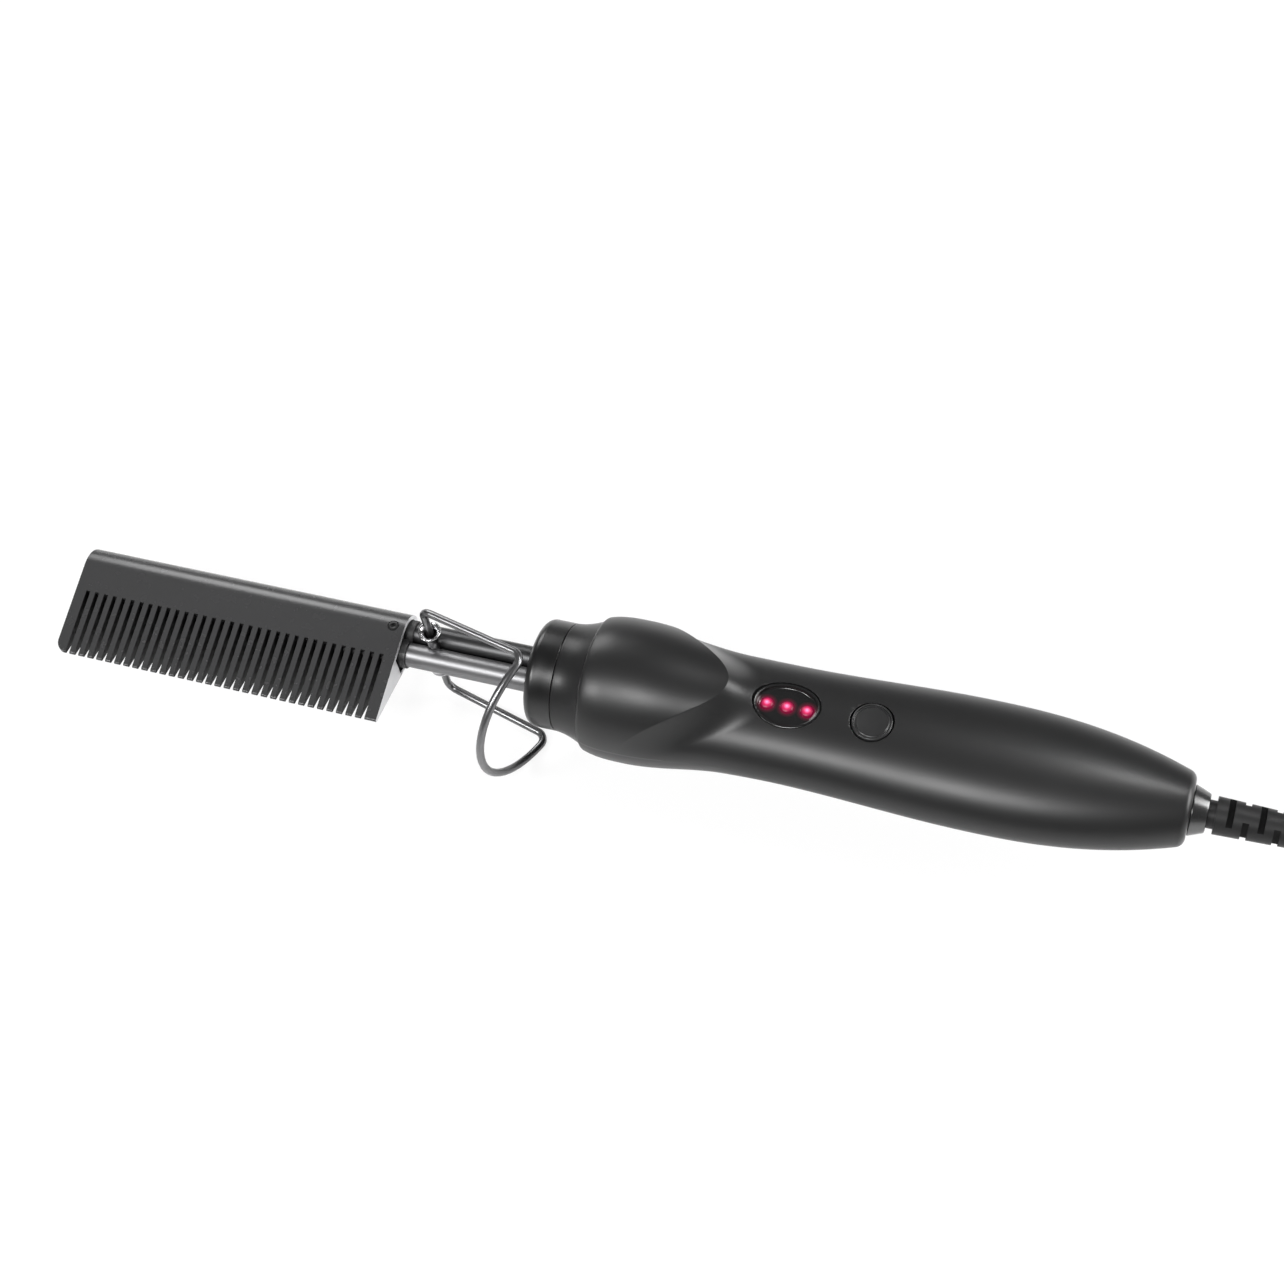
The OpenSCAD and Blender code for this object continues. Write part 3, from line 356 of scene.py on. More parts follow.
# Rings joined one after the other: ringAt(row, share) gives the point at that share of the way round
def lofted(name, ringAt, rows, steps, capped=True):
    clearSelection()
    bpy.ops.mesh.primitive_circle_add(vertices=steps, fill_type="NOTHING")
    piece = bpy.context.object
    bpy.ops.object.mode_set(mode="EDIT")
    mesh = bmesh.from_edit_mesh(piece.data)
    column = mesh.verts.layers.int.new("column")
    for i, vertex in enumerate(mesh.verts):
        vertex[column] = i
        vertex.co = ringAt(0, i / steps)
    bpy.ops.mesh.select_all(action="SELECT")
    if capped:
        bpy.ops.mesh.edge_face_add()
    for row in range(1, rows):
        bpy.ops.mesh.extrude_region_move() if capped else bpy.ops.mesh.extrude_edges_move()
        mesh = bmesh.from_edit_mesh(piece.data)
        column = mesh.verts.layers.int["column"]
        for vertex in mesh.verts:
            if vertex.select:
                vertex.co = ringAt(row, vertex[column] / steps)
    bpy.ops.object.mode_set(mode="OBJECT")
    piece.scale = (mm, mm, mm)
    piece.location = seam
    return squareUp(settle(piece, name))


# A tube of even thickness along a route, closed at both ends
def routed(name, route, radius, sides=16):
    clearSelection()
    line = bpy.data.curves.new(name, "CURVE")
    line.dimensions = "3D"
    spline = line.splines.new("POLY")
    spline.points.add(len(route) - 1)
    for point, place in zip(spline.points, route):
        point.co = (*spot(*place), 1)
    line.bevel_depth = radius * mm
    line.bevel_resolution = sides // 4 - 2
    line.use_fill_caps = True
    piece = bpy.data.objects.new(name, line)
    bpy.context.scene.collection.objects.link(piece)
    makeActive(piece)
    bpy.ops.object.convert(target="MESH")
    return smoothBy(squareUp(settle(bpy.context.object, name)), 40)


def moved(piece, x=0.0, y=0.0, z=0.0):
    # Shifts the mesh and leaves the object at the origin
    piece.data.transform(Matrix.Translation(Vector((x, y, z)) * mm))
    return piece


def curveThrough(points, parts):
    # A smooth line through the points, each stretch in that many parts
    smooth = []
    last = len(points) - 1
    for i in range(last):
        before, a, b, after = (Vector(points[clamp(k, 0, last)]) for k in (i - 1, i, i + 1, i + 2))
        gap = (b - a).length
        leave = (b - before) / max((b - before).length, 1e-6) * gap
        arrive = (after - a) / max((after - a).length, 1e-6) * gap
        for k in range(parts):
            t = k / parts
            smooth.append(a * (2 * t**3 - 3 * t**2 + 1) + leave * (t**3 - 2 * t**2 + t)
                          + b * (3 * t**2 - 2 * t**3) + arrive * (t**3 - t**2))
    return smooth + [Vector(points[-1])]


# The cord: straight out of the relief, down to the floor, a tied hank of four layers, and the plug on top
cord = {"diameter": 5.2, "exit": 186.9, "gap": 0.6, "fold": 15.6, "run": 78, "waist": 4, "inset": 70,
        "middle": -3.7, "lift": 1.3, "plugY": 4, "plugGap": 0.3, "turnIn": 3, "stepsPerTurn": 72,
        "turns": (0, 19 / 12, 37 / 12, 55 / 12, 17 / 3),
        "lead": ((0, 0), (5, 0), (15, 0.07), (25, 0.26), (35, 0.5), (45, 0.74), (55, 0.93), (65, 1),
                 (70, 1)),
        "tail": ((10, 0.14), (20, 0.43), (30, 0.76), (38, 0.95), (44, 1), (50, 1))}
plug = {"relief": 20, "length": 34, "width": 35.3, "shoulder": 16, "thick": 13.7, "edge": 1, "corner": 6.2,
        "pinGap": 19, "pinRadius": 2, "pinLength": 19,
        "ribs": 4, "ribAt": 14, "ribStep": 3.4, "ribRadius": 1.1, "root": (7, 5),
        "boot": ((0, 3.2, 3.2), (6, 3.6, 3.6), (13, 4.1, 4.1), (18.6, 4.6, 4.6), (20, 5.4, 5))}
cordStep = cord["diameter"] + cord["gap"]
hankLow = cord["diameter"] / 2 + cord["lift"] - axisHeight
hankX = cord["exit"] + cord["inset"] + cord["diameter"]


def hankRadius(turns):
    middle = cord["turns"][1] if turns < cord["turns"][2] else cord["turns"][3]
    return cord["fold"] + cordStep * abs(turns - middle)


def hankAt(turns):
    # A turn in 24 steps: 4 along the hank, 8 round its far fold, 4 back and 8 round its near fold
    step = 24 * (turns - math.floor(turns + 0.0001))
    radius = hankRadius(turns)
    if step <= 4:
        along, bend = step / 4, 90
    elif step <= 12:
        along, bend = 1, 90 - 22.5 * (step - 4)
    elif step <= 16:
        along, bend = (16 - step) / 4, -90
    else:
        along, bend = 0, -90 - 22.5 * (step - 16)
    angle = math.radians(bend)
    wide = radius - cord["waist"] * (1 - math.cos(2 * math.pi * along)) / 2
    bulge = radius * math.cos(angle) if along in (0, 1) else 0
    # It climbs by a layer over a sixth of a turn at each of the three inner places in "turns"
    layer = sum(clamp((turns - cord["turns"][k]) * 6 + 0.5) for k in (1, 2, 3))
    return Vector((hankX + cord["run"] * along + bulge, cord["middle"] + wide * math.sin(angle),
                   hankLow + cordStep * layer))


def makeCord():
    stub = Vector((cord["diameter"], 0, 0))
    steps = cord["stepsPerTurn"]
    hank = [hankAt(i / steps) for i in range(round(steps * cord["turns"][4]) + 1)]
    start, stop = hank[0] - stub, hank[-1] - stub
    lead = curveThrough([(cord["exit"] + x, start.y * share, hankLow * share) for x, share in cord["lead"]],
                        5)
    turn = stop - Vector((cord["turnIn"], 0, 0))
    wide = cord["middle"] - turn.y
    plugZ = hankLow + 3 * cordStep + cord["diameter"] / 2 + cord["plugGap"] + plug["thick"] / 2
    arc = [turn + Vector((-wide * math.sin(a), wide * (1 - math.cos(a)), cordStep * a / math.pi))
           for a in (math.radians(5 * i) for i in range(37))]
    tail = curveThrough([arc[-1]] + [(turn.x + x, mix(arc[-1].y, cord["plugY"], share),
                                      mix(arc[-1].z, plugZ, share)) for x, share in cord["tail"]], 5)
    route = lead[:-1] + [start] + hank + [stop] + arc + tail[1:]
    piece = routed("cord", route, cord["diameter"] / 2)
    belong(piece, "tool", "cord_jacket", "cord_lead", "cord_hank", "cord_tail")
    length = sum((b - a).length for a, b in zip(route, route[1:])) * mm
    return piece, [spot(*p) for p in route], length, Vector((tail[-1].x, cord["plugY"], plugZ))


cordPiece, cordPath, cordLength, plugPlace = makeCord()
print("cord laid:", round(cordLength, 3), "m")


def roundedBox(share, halfWidth, halfThick, corner):
    # Point on a rounded rectangle's outline at that share of the way round
    corner = min(corner, halfWidth, halfThick)
    angle = 2 * math.pi * share
    quarter = int(share * 4) % 4
    sideY = 1 if quarter in (0, 3) else -1
    sideZ = 1 if quarter in (0, 1) else -1
    return (sideY * (halfWidth - corner) + corner * math.cos(angle),
            sideZ * (halfThick - corner) + corner * math.sin(angle))


def makePlug():
    x0, y, z = plugPlace
    bodyX = x0 + plug["relief"]
    halfWide, halfThick, face = plug["width"] / 2, plug["thick"] / 2, bodyX + plug["length"]
    rows = [(x0 + x, wide, thick) for x, wide, thick in plug["boot"]]
    for i in range(1, 13):
        a = math.pi / 2 * i / 12
        rows.append((bodyX + plug["shoulder"] * (1 - math.cos(a)), mix(plug["root"][0], halfWide, math.sin(a)),
                     mix(plug["root"][1], halfThick, math.sin(a) ** 0.7)))
    rows += [(face + x, halfWide - inset, halfThick - inset)
             for x, inset in ((-10, 0), (-1.2, 0), (-0.4, 0.25), (0, plug["edge"]))]

    def ring(row, share):
        x, wide, thick = rows[row]
        across, up = roundedBox(share, wide, thick, plug["corner"])
        return x, y + across, z + up

    body = lofted("plugBody", ring, len(rows), 64)
    for side in (-1, 1):
        for i in range(plug["ribs"]):
            x = bodyX + plug["ribAt"] + plug["ribStep"] * i
            cutAway(body, rod(z - 9, z + 9, plug["ribRadius"], x, y + side * (halfWide + 0.5), 20, True))
    softEdges(body, 0.25, 2, 40, 40)
    belong(body, "tool", "plug_vinyl", "plug_body")
    pins = []
    radius, tip = plug["pinRadius"], face + plug["pinLength"]
    for side in (-1, 1):
        pin = turned("pin", [(face - 7, 0), (face - 7, radius - 0.4), (face + 0.05, radius - 0.4),
                             (face + 0.05, radius), (tip - 2, radius), (tip - 0.9, radius - 0.18),
                             (tip - 0.3, radius - 0.6), (tip, radius - 1.2), (tip, 0)], 32)
        pins.append(moved(pin, 0, y + side * plug["pinGap"] / 2, z))
    pinPair = softEdges(gather(pins, "plugPins"), 0.05, 1, 50, 30)
    belong(pinPair, "tool", "plug_metal", "plug_pins")
    return body, pinPair


plugBody, plugPins = makePlug()


def weave():
    look = Look("tieWeave")
    warp, fill = (look.node("ShaderNodeTexWave", {"bands_direction": way}, {
        "Vector": look.place(), "Scale": scale}) for way, scale in (("X", 420.0), ("Y", 520.0)))
    fuzz = look.noise(0.3, 3)
    look.set(BaseColor=look.blend(warp * fill, grey(0.004), grey(0.016)), Roughness=0.8 + fuzz * 0.15)
    look.shader.inputs["Sheen Weight"].default_value = 0.3
    look.bump(warp * 0.6 + fill * 0.4 + fuzz * 0.5, 0.12)
    return look


addLook("tie_strap", weave())
tie = {"wide": 12, "thick": 1.2, "gap": 0.6}


def makeTie():
    wide = 2 * (hankRadius(0) - cord["waist"]) + cord["diameter"] + tie["gap"]
    high = 3 * cordStep + cord["diameter"] + 0.2
    x0 = hankX + cord["run"] / 2 - tie["wide"] / 2
    z = hankLow - cord["diameter"] / 2 + high / 2 - 0.1
    rows = [(0, 0), (0, tie["thick"]), (tie["wide"], tie["thick"]), (tie["wide"], 0), (0, 0)]

    def ring(row, share):
        along, out = rows[row]
        across, up = roundedBox(share, wide / 2 + out, high / 2 + out, cord["diameter"] / 2 + out)
        return x0 + along, cord["middle"] + across, z + up

    band = softEdges(lofted("cordTie", ring, len(rows), 96, capped=False), 0.3, 2, 40, 40)
    belong(band, "tool", "tie_strap", "cord_tie")
    return band


cordTie = makeTie()
[tuple(p) for p in cordPath]
print("plug and tie made")

# Comb: a wedge with a round spine, hollow above its teeth, cut through by the slots
plain("comb_coating", "combCoating", grey(0.04), grey(0.043), 6, 0.27, 0.03, 0.18, 0.004, 0.3, shine=0.4)
plain("comb_edge", "combEdge", grey(0.5), grey(0.58), 2, 0.3, 0.08, 0.15, 0.003, 0.4)
# The hollow's inside is painted darker than the coating: painted shade inside the comb
plain("comb_inside_painted_shade", "combInsidePaintedShade", grey(0.02), grey(0.03), 3, 0.5, 0.16, 0.25, 0.01)
# The slots' walls are painted far darker than the coating: painted shade in the slots
plain("comb_slot_painted_shade", "combSlotPaintedShade", grey(0.008), grey(0.012), 2, 0.55, 0.12, 0.2, 0.006, shine=0.2)
plain("dark_screw", "screwBlack", grey(0.012), grey(0.022), 1, 0.34, 0.1, 0.1, 0.003, 0.6)
comb = {"length": 84.6, "depth": 29.1, "end": -40.5, "spine": 5.7, "rise": 7, "wall": 1, "tip": 0.5,
        "slots": 33, "pitch": 2.43, "slotWide": 1.05, "hollow": -6.8, "tooth": 15.8, "margin": 3.5,
        "corner": 2.8, "spineCorner": 2, "core": 0.25, "edge": 0.16, "screwIn": 2.9, "screwUp": 0.9,
        "screwRadius": 1.3}
combFar = comb["end"] - comb["length"]
combLow = comb["rise"] - comb["depth"]
spineY, tipY = comb["rise"] - comb["spine"], combLow + comb["tip"]
wedge = math.asin((comb["spine"] - comb["tip"]) / (spineY - tipY))
coreRadius = comb["spine"] - comb["wall"]
coreTipY = spineY - (coreRadius - comb["core"]) / math.sin(wedge)


def arc(radius, middle, start, stop, steps):
    # (y, z) points of a round stretch about y = middle, angle 0 towards +y
    angles = [mix(start, stop, i / steps) for i in range(steps + 1)]
    return [(middle + radius * math.cos(a), radius * math.sin(a)) for a in angles]


def wedgeBar(name, x0, x1, bigRadius, bigY, smallRadius, smallY, steps):
    # Two circles and their common tangents, from the spine's side round to the tip and back
    half = math.pi / 2 + wedge
    outline = arc(bigRadius, bigY, -half, half, steps)
    outline += arc(smallRadius, smallY, half, 2 * math.pi - half, max(4, steps // 4))
    # Two rings near the ends keep what is cut there off the long faces
    places = (x0, x0 + 6, x1 - 7, x1)
    return lofted(name, lambda row, share: (places[row], *outline[round(share * len(outline))]),
                  len(places), len(outline))


def makeComb():
    body = wedgeBar("comb", combFar, comb["end"], comb["spine"], spineY, comb["tip"], tipY, 56)
    # The far end's corners are rounded in side view by two cutters
    for corner, y, side in ((comb["corner"], combLow, 1), (comb["spineCorner"], comb["rise"], -1)):
        cutter = block((combFar - 1, min(y - side, y + side * corner), -9),
                       (combFar + corner, max(y - side, y + side * corner), 9))
        keep = rod(-10, 10, corner, combFar + corner, y + side * corner, 64, True)
        cutAway(body, cutAway(cutter, keep))
    core = wedgeBar("core", combFar + 1.2 * comb["wall"], comb["end"] + 1, coreRadius, spineY, comb["core"],
                    coreTipY, 40)
    cutAway(core, block((combFar - 1, combLow - 1, -9), (comb["end"] + 2, comb["hollow"], 9)))
    finishes = ("comb_coating", "comb_edge", "comb_inside_painted_shade", "comb_slot_painted_shade")
    dress(body, *finishes)
    # The hollow's faces take the painted shade
    cutAway(body, paint(core, finishes, 2))
    slot = block((comb["end"] - comb["margin"] - comb["slotWide"] / 2, combLow - 1, -8),
                 (comb["end"] - comb["margin"] + comb["slotWide"] / 2, combLow + comb["tooth"], 8))
    applied(slot, "ARRAY", count=comb["slots"], use_relative_offset=False, use_constant_offset=True,
            constant_offset_displace=(-comb["pitch"] * mm, 0, 0))
    # The slots' walls take the painted shade
    cutAway(body, paint(slot, finishes, 3))
    cutAway(body, rod(0, 12, comb["screwRadius"] + 0.05, comb["end"] - comb["screwIn"], comb["screwUp"], 32,
                      True))
    softEdges(body, comb["edge"], 2, 38, 38)
    # The cut end and its edge are bare metal
    bare = spot(comb["end"]).x - (comb["edge"] + 0.01) * mm
    for face in body.data.polygons:
        if face.normal.x > 0.2 and face.center.x > bare:
            face.material_index = 1
    belong(body, "tool", "comb_coating", "comb_shell")


def makeCombScrew():
    radius, x = comb["screwRadius"], comb["end"] - comb["screwIn"]
    top = (comb["spine"] - (spineY - comb["screwUp"]) * math.sin(wedge)) / math.cos(wedge) - 0.15
    outline = [(top - 2.1, 0), (top - 2.1, 0.8), (top - 0.9, 0.8), (top - 0.9, radius), (top - 0.18, radius),
               (top - 0.04, radius - 0.14), (top, radius - 0.4), (top, 0)]
    head = moved(turned("combScrew", outline, 40, True), x, comb["screwUp"])
    cutAway(head, rod(top - 0.45, top + 1, radius * 0.5, x, comb["screwUp"], 6, True))
    softEdges(head, 0.05, 2, 40, 35)
    belong(head, "tool", "dark_screw", "comb_screw")


makeComb()
makeCombScrew()
print("comb made")

# Stem: two thin tubes one above the other, and the bush that carries the stand
plain("stem_steel", "stemSteel", grey(0.17), grey(0.18), 12, 0.42, 0.02, 0.3, 0.0006, 1.0,
      stretch=(0.15, 1, 1))
# The spine tube's copy of the same steel is painted darker: painted shade, not a different metal
plain("stem_steel_painted_shade", "stemSteelPaintedShade", grey(0.055), grey(0.06), 12, 0.38, 0.02, 0.3, 0.0006, 1.0,
      stretch=(0.15, 1, 1))
plain("bush_steel", "bushSteel", grey(0.36), grey(0.48), 1.5, 0.2, 0.1, 0.15, 0.003, 1.0,
      stretch=(1, 1, 0.2))
plain("wire_steel", "wireSteel", grey(0.13), grey(0.17), 3, 0.32, 0.08, 0.2, 0.002, 1.0)
stem = {"diameter": 5.8, "wall": 0.6, "gap": 0.05, "inside": 15, "start": -54.3, "pivot": -33.3, "clear": 2.5}
bush = {"half": 8.4, "bore": 0.943, "wall": 0.55, "flare": 1.25, "rim": 0.5, "cup": 3.6, "sink": 1.8}
bushRadius = bush["bore"] + bush["wall"]


def makeStem():
    for side, node in ((1, "stem_tube_spine"), (-1, "stem_tube_teeth")):
        y = side * (stem["diameter"] + stem["gap"]) / 2
        out, bore = stem["diameter"] / 2, stem["diameter"] / 2 - stem["wall"]
        # Rings on both sides of the bush keep its bore off the long faces
        rings = [stem["pivot"] - stem["clear"], stem["pivot"] + stem["clear"]]
        tube = turned("stemTube" + ("Spine" if side > 0 else "Teeth"), [
            (stem["start"], bore), (stem["start"], out), *((x, out) for x in rings), (stem["inside"], out),
            (stem["inside"], bore), *((x, bore) for x in reversed(rings))], 72)
        cutAway(moved(tube, 0, y), rod(-9, 9, bushRadius + 0.02, stem["pivot"], 0, 32, True))
        softEdges(tube, 0.08, 2, 45, 35)
        # The spine tube takes the steel with painted shade
        dress(tube, "stem_steel_painted_shade" if side > 0 else "stem_steel")
        belong(tube, "tool", "stem_steel", node)


def makeBush():
    half, rim = bush["half"], bushRadius + bush["flare"]
    back = half - bush["rim"]
    cup = [(half, rim - bush["wall"] + 0.1), (half, rim - 0.12), (half - 0.12, rim), (back + 0.1, rim),
           (back, rim - 0.1), (back - 1.2, mix(rim, bushRadius, 0.42)),
           (back - 2.4, mix(rim, bushRadius, 0.78)), (back - bush["cup"], bushRadius)]
    throat = [(half - bush["sink"], bush["bore"]), (half - 0.7, mix(bush["bore"], rim - bush["wall"], 0.5))]
    outline = throat + cup + [(-a, r) for a, r in reversed(cup)] + [(-a, r) for a, r in reversed(throat)]
    piece = turned("pivotBush", outline, 48, True, stem["pivot"])
    softEdges(piece, 0.06, 2, 40, 40)
    belong(piece, "tool", "bush_steel", "pivot_bush")


makeStem()
makeBush()

stand = {"wire": 1.9, "hook": 17.6, "bend": 19.2, "leg": 28.7, "legAngle": 14, "foot": 20.4,
         "footTurn": 96.3, "footHalf": 17.3, "footRadius": 18.8, "bendRadius": 2.6, "pinDeep": 6,
         "thinner": 0.94}


def roundedRoute(corners, radii, steps):
    # The corners' line with each corner swapped for an arc
    route = [Vector(corners[0])]
    for i in range(1, len(corners) - 1):
        here = Vector(corners[i])
        back = (Vector(corners[i - 1]) - here).normalized()
        on = (Vector(corners[i + 1]) - here).normalized()
        half = back.angle(on) / 2
        centre = here + (back + on).normalized() * radii[i] / math.sin(half)
        a = here + back * radii[i] / math.tan(half) - centre
        b = here + on * radii[i] / math.tan(half) - centre
        sweep = math.pi - 2 * half
        for k in range(steps + 1):
            done = sweep * k / steps
            route.append(centre + (a * math.sin(sweep - done) + b * math.sin(done)) / math.sin(sweep))
    return route + [Vector(corners[-1])]


def makeStand():
    leg, foot = math.radians(stand["legAngle"]), math.radians(-stand["legAngle"] - stand["footTurn"])
    kneeX, kneeY = stem["pivot"] + stand["leg"] * math.cos(leg), -stand["leg"] * math.sin(leg)
    half = [(stem["pivot"], 0, bush["half"] - stand["pinDeep"]), (stem["pivot"], 0, stand["hook"]),
            (kneeX, kneeY, stand["bend"]),
            (kneeX + stand["foot"] * math.cos(foot), kneeY + stand["foot"] * math.sin(foot),
             stand["footHalf"])]
    corners = half + [(x, y, -z) for x, y, z in reversed(half)]
    small, big = stand["bendRadius"], stand["footRadius"]
    wire = routed("wireStand", roundedRoute(corners, [0, small, small, big, big, small, small, 0], 14),
                  stand["wire"] / 2, 24)
    # The ends in the bush are drawn a little thinner, for the running fit
    pivot = spot(stem["pivot"])
    for vertex in wire.data.vertices:
        away = vertex.co - pivot
        if away.xy.length < stand["wire"] * mm and abs(away.z) < (bush["half"] + 0.3) * mm:
            vertex.co.xy = pivot.xy + away.xy * stand["thinner"]
    softEdges(wire, 0.15, 2, 60, 40)
    belong(wire, "stand", "wire_steel", "wire_stand")


makeStand()
print("stem and stand made")

# Collar and neck, turned
plain("collar_gloss", "collarGloss", grey(0.004), grey(0.006), 20, 0.3, 0.06, 1.5, 0.002, shine=0.4)
plain("neck_gloss", "neckGloss", grey(0.009), grey(0.011), 20, 0.34, 0.05, 1.2, 0.003, shine=0.22)
collar = {"radius": 12.9, "length": 7, "edge": 2.2, "wall": 1.6}
neck = {"length": 7.2, "radius": 15, "clamp": 9.25, "power": 1.7, "spigot": 5.1, "tongue": 3.2, "steps": 24}


def makeCollar():
    radius, front, wall, edge = collar["radius"], -collar["length"], collar["wall"], collar["edge"]
    corner = [(front + edge * (1 - math.sin(a)), radius - edge * (1 - math.cos(a)))
              for a in (math.radians(90 - 10 * i) for i in range(10))]
    outline = [(front, 0)] + corner + [(-0.25, radius), (-0.06, radius - 0.06), (0, radius - 0.25),
                                       (0, radius - wall), (front + wall, radius - wall), (front + wall, 0)]
    piece = turned("frontCollar", outline, 128)
    for side in (-1, 1):
        cutAway(piece, rod(front - 1, 1, stem["diameter"] / 2 + 0.1,
                           side * (stem["diameter"] + stem["gap"]) / 2))
    softEdges(piece, 0.1, 2, 50, 40)
    belong(piece, "tool", "collar_gloss", "front_collar")


def makeNeck():
    lip = handle["bulb"] - handle["bulbDrop"] - handle["wall"] - 0.1
    spigot = collar["radius"] - collar["wall"] - 0.05
    shares = [i / neck["steps"] for i in range(1, neck["steps"] + 1)]
    flare = [(neck["length"] * share, mix(collar["radius"], neck["radius"], share ** neck["power"]))
             for share in shares]
    front, back = -neck["spigot"], neck["length"] + neck["tongue"]
    outline = [(front, neck["clamp"]), (front, spigot), (0.05, spigot), (0.05, collar["radius"] - 0.2),
               (0.12, collar["radius"] - 0.04), *flare, (neck["length"], lip), (back, lip),
               (back, neck["clamp"])]
    piece = turned("neckRing", outline, 128)
    softEdges(piece, 0.08, 2, 50, 40)
    belong(piece, "tool", "neck_gloss", "neck_ring")


# Handle: a round bulb that ends in a crease, then a flat oval grip
handle = {"start": 7.2, "length": 138, "bulb": 16.95, "bulbAt": 9.8, "bulbDrop": 1.2, "bulbTail": 13.9,
          "crease": 33.1, "creaseFall": 0.08, "hollow": 11, "waist": (29.4, 19.2), "belly": (32.4, 20.4),
          "waistAt": 45, "bellyAt": 91, "tail": (16.6, 15.2), "tailEdge": 1.5, "frontEdge": 0.8, "wall": 2,
          "bulbFair": 28, "sideFair": 25, "backFair": 39, "shaft": 4.28, "bosses": (27, 116),
          "bossRadius": 3.6, "bossBore": 1.24, "screwHead": 2.3, "screwDeep": 2.2}
shellX = handle["start"]
tailX = shellX + handle["length"]
bulbX, waistX, bellyX = (shellX + handle[k] for k in ("bulbAt", "waistAt", "bellyAt"))


def bulbRadius(x):
    if x < bulbX:
        return handle["bulb"] - handle["bulbDrop"] * ((bulbX - x) / handle["bulbAt"]) ** 3
    return mix(handle["bulb"], handle["bulbTail"], ease((x - bulbX) / handle["bulbFair"]))


def gripSize(x, which, power):
    if x < bellyX:
        return mix(handle["waist"][which], handle["belly"][which], ease((x - waistX) / (bellyX - waistX))) / 2
    return mix(handle["belly"][which], handle["tail"][which],
               clamp((x - bellyX) / (tailX - bellyX)) ** power) / 2


def faired(x, length, joins, size):
    # The bulb's radius, eased over that length into the grip's half size
    if x < bulbX:
        return bulbRadius(x)
    if x < bulbX + length:
        return mix(handle["bulb"], joins, ease((x - bulbX) / length))
    return size(x)


def halfTop(x):
    return gripSize(x, 1, 2.6)


def halfWide(x):
    def grip(at):
        return gripSize(at, 0, 2.4)

    return faired(x, handle["sideFair"], grip(bulbX + handle["sideFair"]), grip)


def halfBack(x):
    return faired(x, handle["backFair"], handle["waist"][1] / 2, halfTop)


def cornerInset(depth, radius):
    return 0 if depth >= radius else radius - math.sqrt(max(radius * radius - (radius - depth) ** 2, 0))


def creaseAt(angle):
    return shellX + handle["crease"] - handle["creaseFall"] * (handle["bulb"] * math.sin(angle)) ** 2


def skinAt(x, angle, upper):
    # (y, z) of the handle's outer skin, angle 0 straight up or down
    inset = cornerInset(x - shellX, handle["frontEdge"]) + cornerInset(tailX - x, handle["tailEdge"])
    side, up = math.sin(angle), math.cos(angle)
    crease = creaseAt(angle)
    if not upper:
        y, z = halfWide(x) * side, halfBack(x) * up
    elif x <= crease + 0.001:
        y, z = bulbRadius(x) * side, bulbRadius(x) * up
    else:
        fade = (1 - clamp((x - crease) / handle["hollow"])) ** 2.2
        y = halfWide(x) * side + (bulbRadius(crease) - halfWide(crease)) * side * fade
        z = halfTop(x) * up + (bulbRadius(crease) - halfTop(crease)) * up * fade
    return y - inset * side, z - inset * up


def stations(angle, upper):
    front = [0, 0.06, 0.18, 0.4, 0.8]
    tail = [1.5, 1.1, 0.75, 0.45, 0.22, 0.06, 0]
    first, last = shellX + front[-1], tailX - tail[0]
    if not upper:
        middle = [mix(first, last, i / 90) for i in range(1, 91)]
    else:
        crease, hollow = creaseAt(angle), creaseAt(angle) + handle["hollow"]
        middle = [mix(first, crease - 0.3, i / 24) for i in range(1, 25)] + [crease, crease + 0.15]
        middle += [mix(crease + 0.15, hollow, (i / 20) ** 1.3) for i in range(1, 21)]
        middle += [mix(hollow, last, i / 44) for i in range(1, 45)]
    return [shellX + d for d in front] + middle + [tailX - d for d in tail[1:]]


def makeShell(upper):
    side = 1 if upper else -1
    columns = 72
    rows = len(stations(0, upper))
    endRows = 5  # the end wall, down to the shaft's hole
    total = rows + endRows - 1
    clearSelection()
    bpy.ops.mesh.primitive_grid_add(x_subdivisions=total, y_subdivisions=columns, size=2)
    piece = bpy.context.object
    table = {}
    for vertex in piece.data.vertices:
        row, column = round((vertex.co.x + 1) / 2 * total), round((vertex.co.y + 1) / 2 * columns)
        angle = math.radians(-90 + 180 * column / columns)
        if column not in table:
            table[column] = stations(angle, upper)
        x = table[column][min(row, rows - 1)]
        y, z = skinAt(x, angle, upper)
        if row >= rows:
            share = (row - rows + 1) / endRows
            y = mix(y, handle["shaft"] * math.sin(angle), share)
            z = mix(z, handle["shaft"] * math.cos(angle), share)
        vertex.co = spot(x, y, side * z)
    piece = squareUp(settle(piece, "handleUpper" if upper else "handleLower"))
    # Outside is away from the axis, so the wall grows towards it
    outward = sum(1 if face.normal.dot(face.center - Vector((face.center.x, seam.y, seam.z))) > 0 else -1
                  for face in piece.data.polygons)
    if outward < 0:
        makeActive(piece)
        bpy.ops.object.mode_set(mode="EDIT")
        bpy.ops.mesh.select_all(action="SELECT")
        bpy.ops.mesh.flip_normals()
        bpy.ops.object.mode_set(mode="OBJECT")
    applied(piece, "SOLIDIFY", thickness=handle["wall"] * mm, offset=-1)
    return piece


controls = {"windowAt": 46.6, "windowLong": 15.7, "windowWide": 11.5, "windowDeep": 1.5, "windowWall": 1,
            "gap": 0.15, "lightStep": 4.7, "light": 3, "lightLow": 2.7, "lightRise": 0.7, "buttonAt": 66.4,
            "button": 9.7, "buttonGap": 0.2, "buttonTrim": 0.14, "skirt": 3.1, "cup": 3.6, "plunger": 6.82}
windowX, buttonX = shellX + controls["windowAt"], shellX + controls["buttonAt"]


def ovalRing(grow, height):
    def ring(row, share):
        a = 2 * math.pi * share
        x = windowX + (controls["windowLong"] / 2 + grow[row]) * math.cos(a)
        y = (controls["windowWide"] / 2 + grow[row]) * math.sin(a)
        return x, y, height(row, y)
    return ring


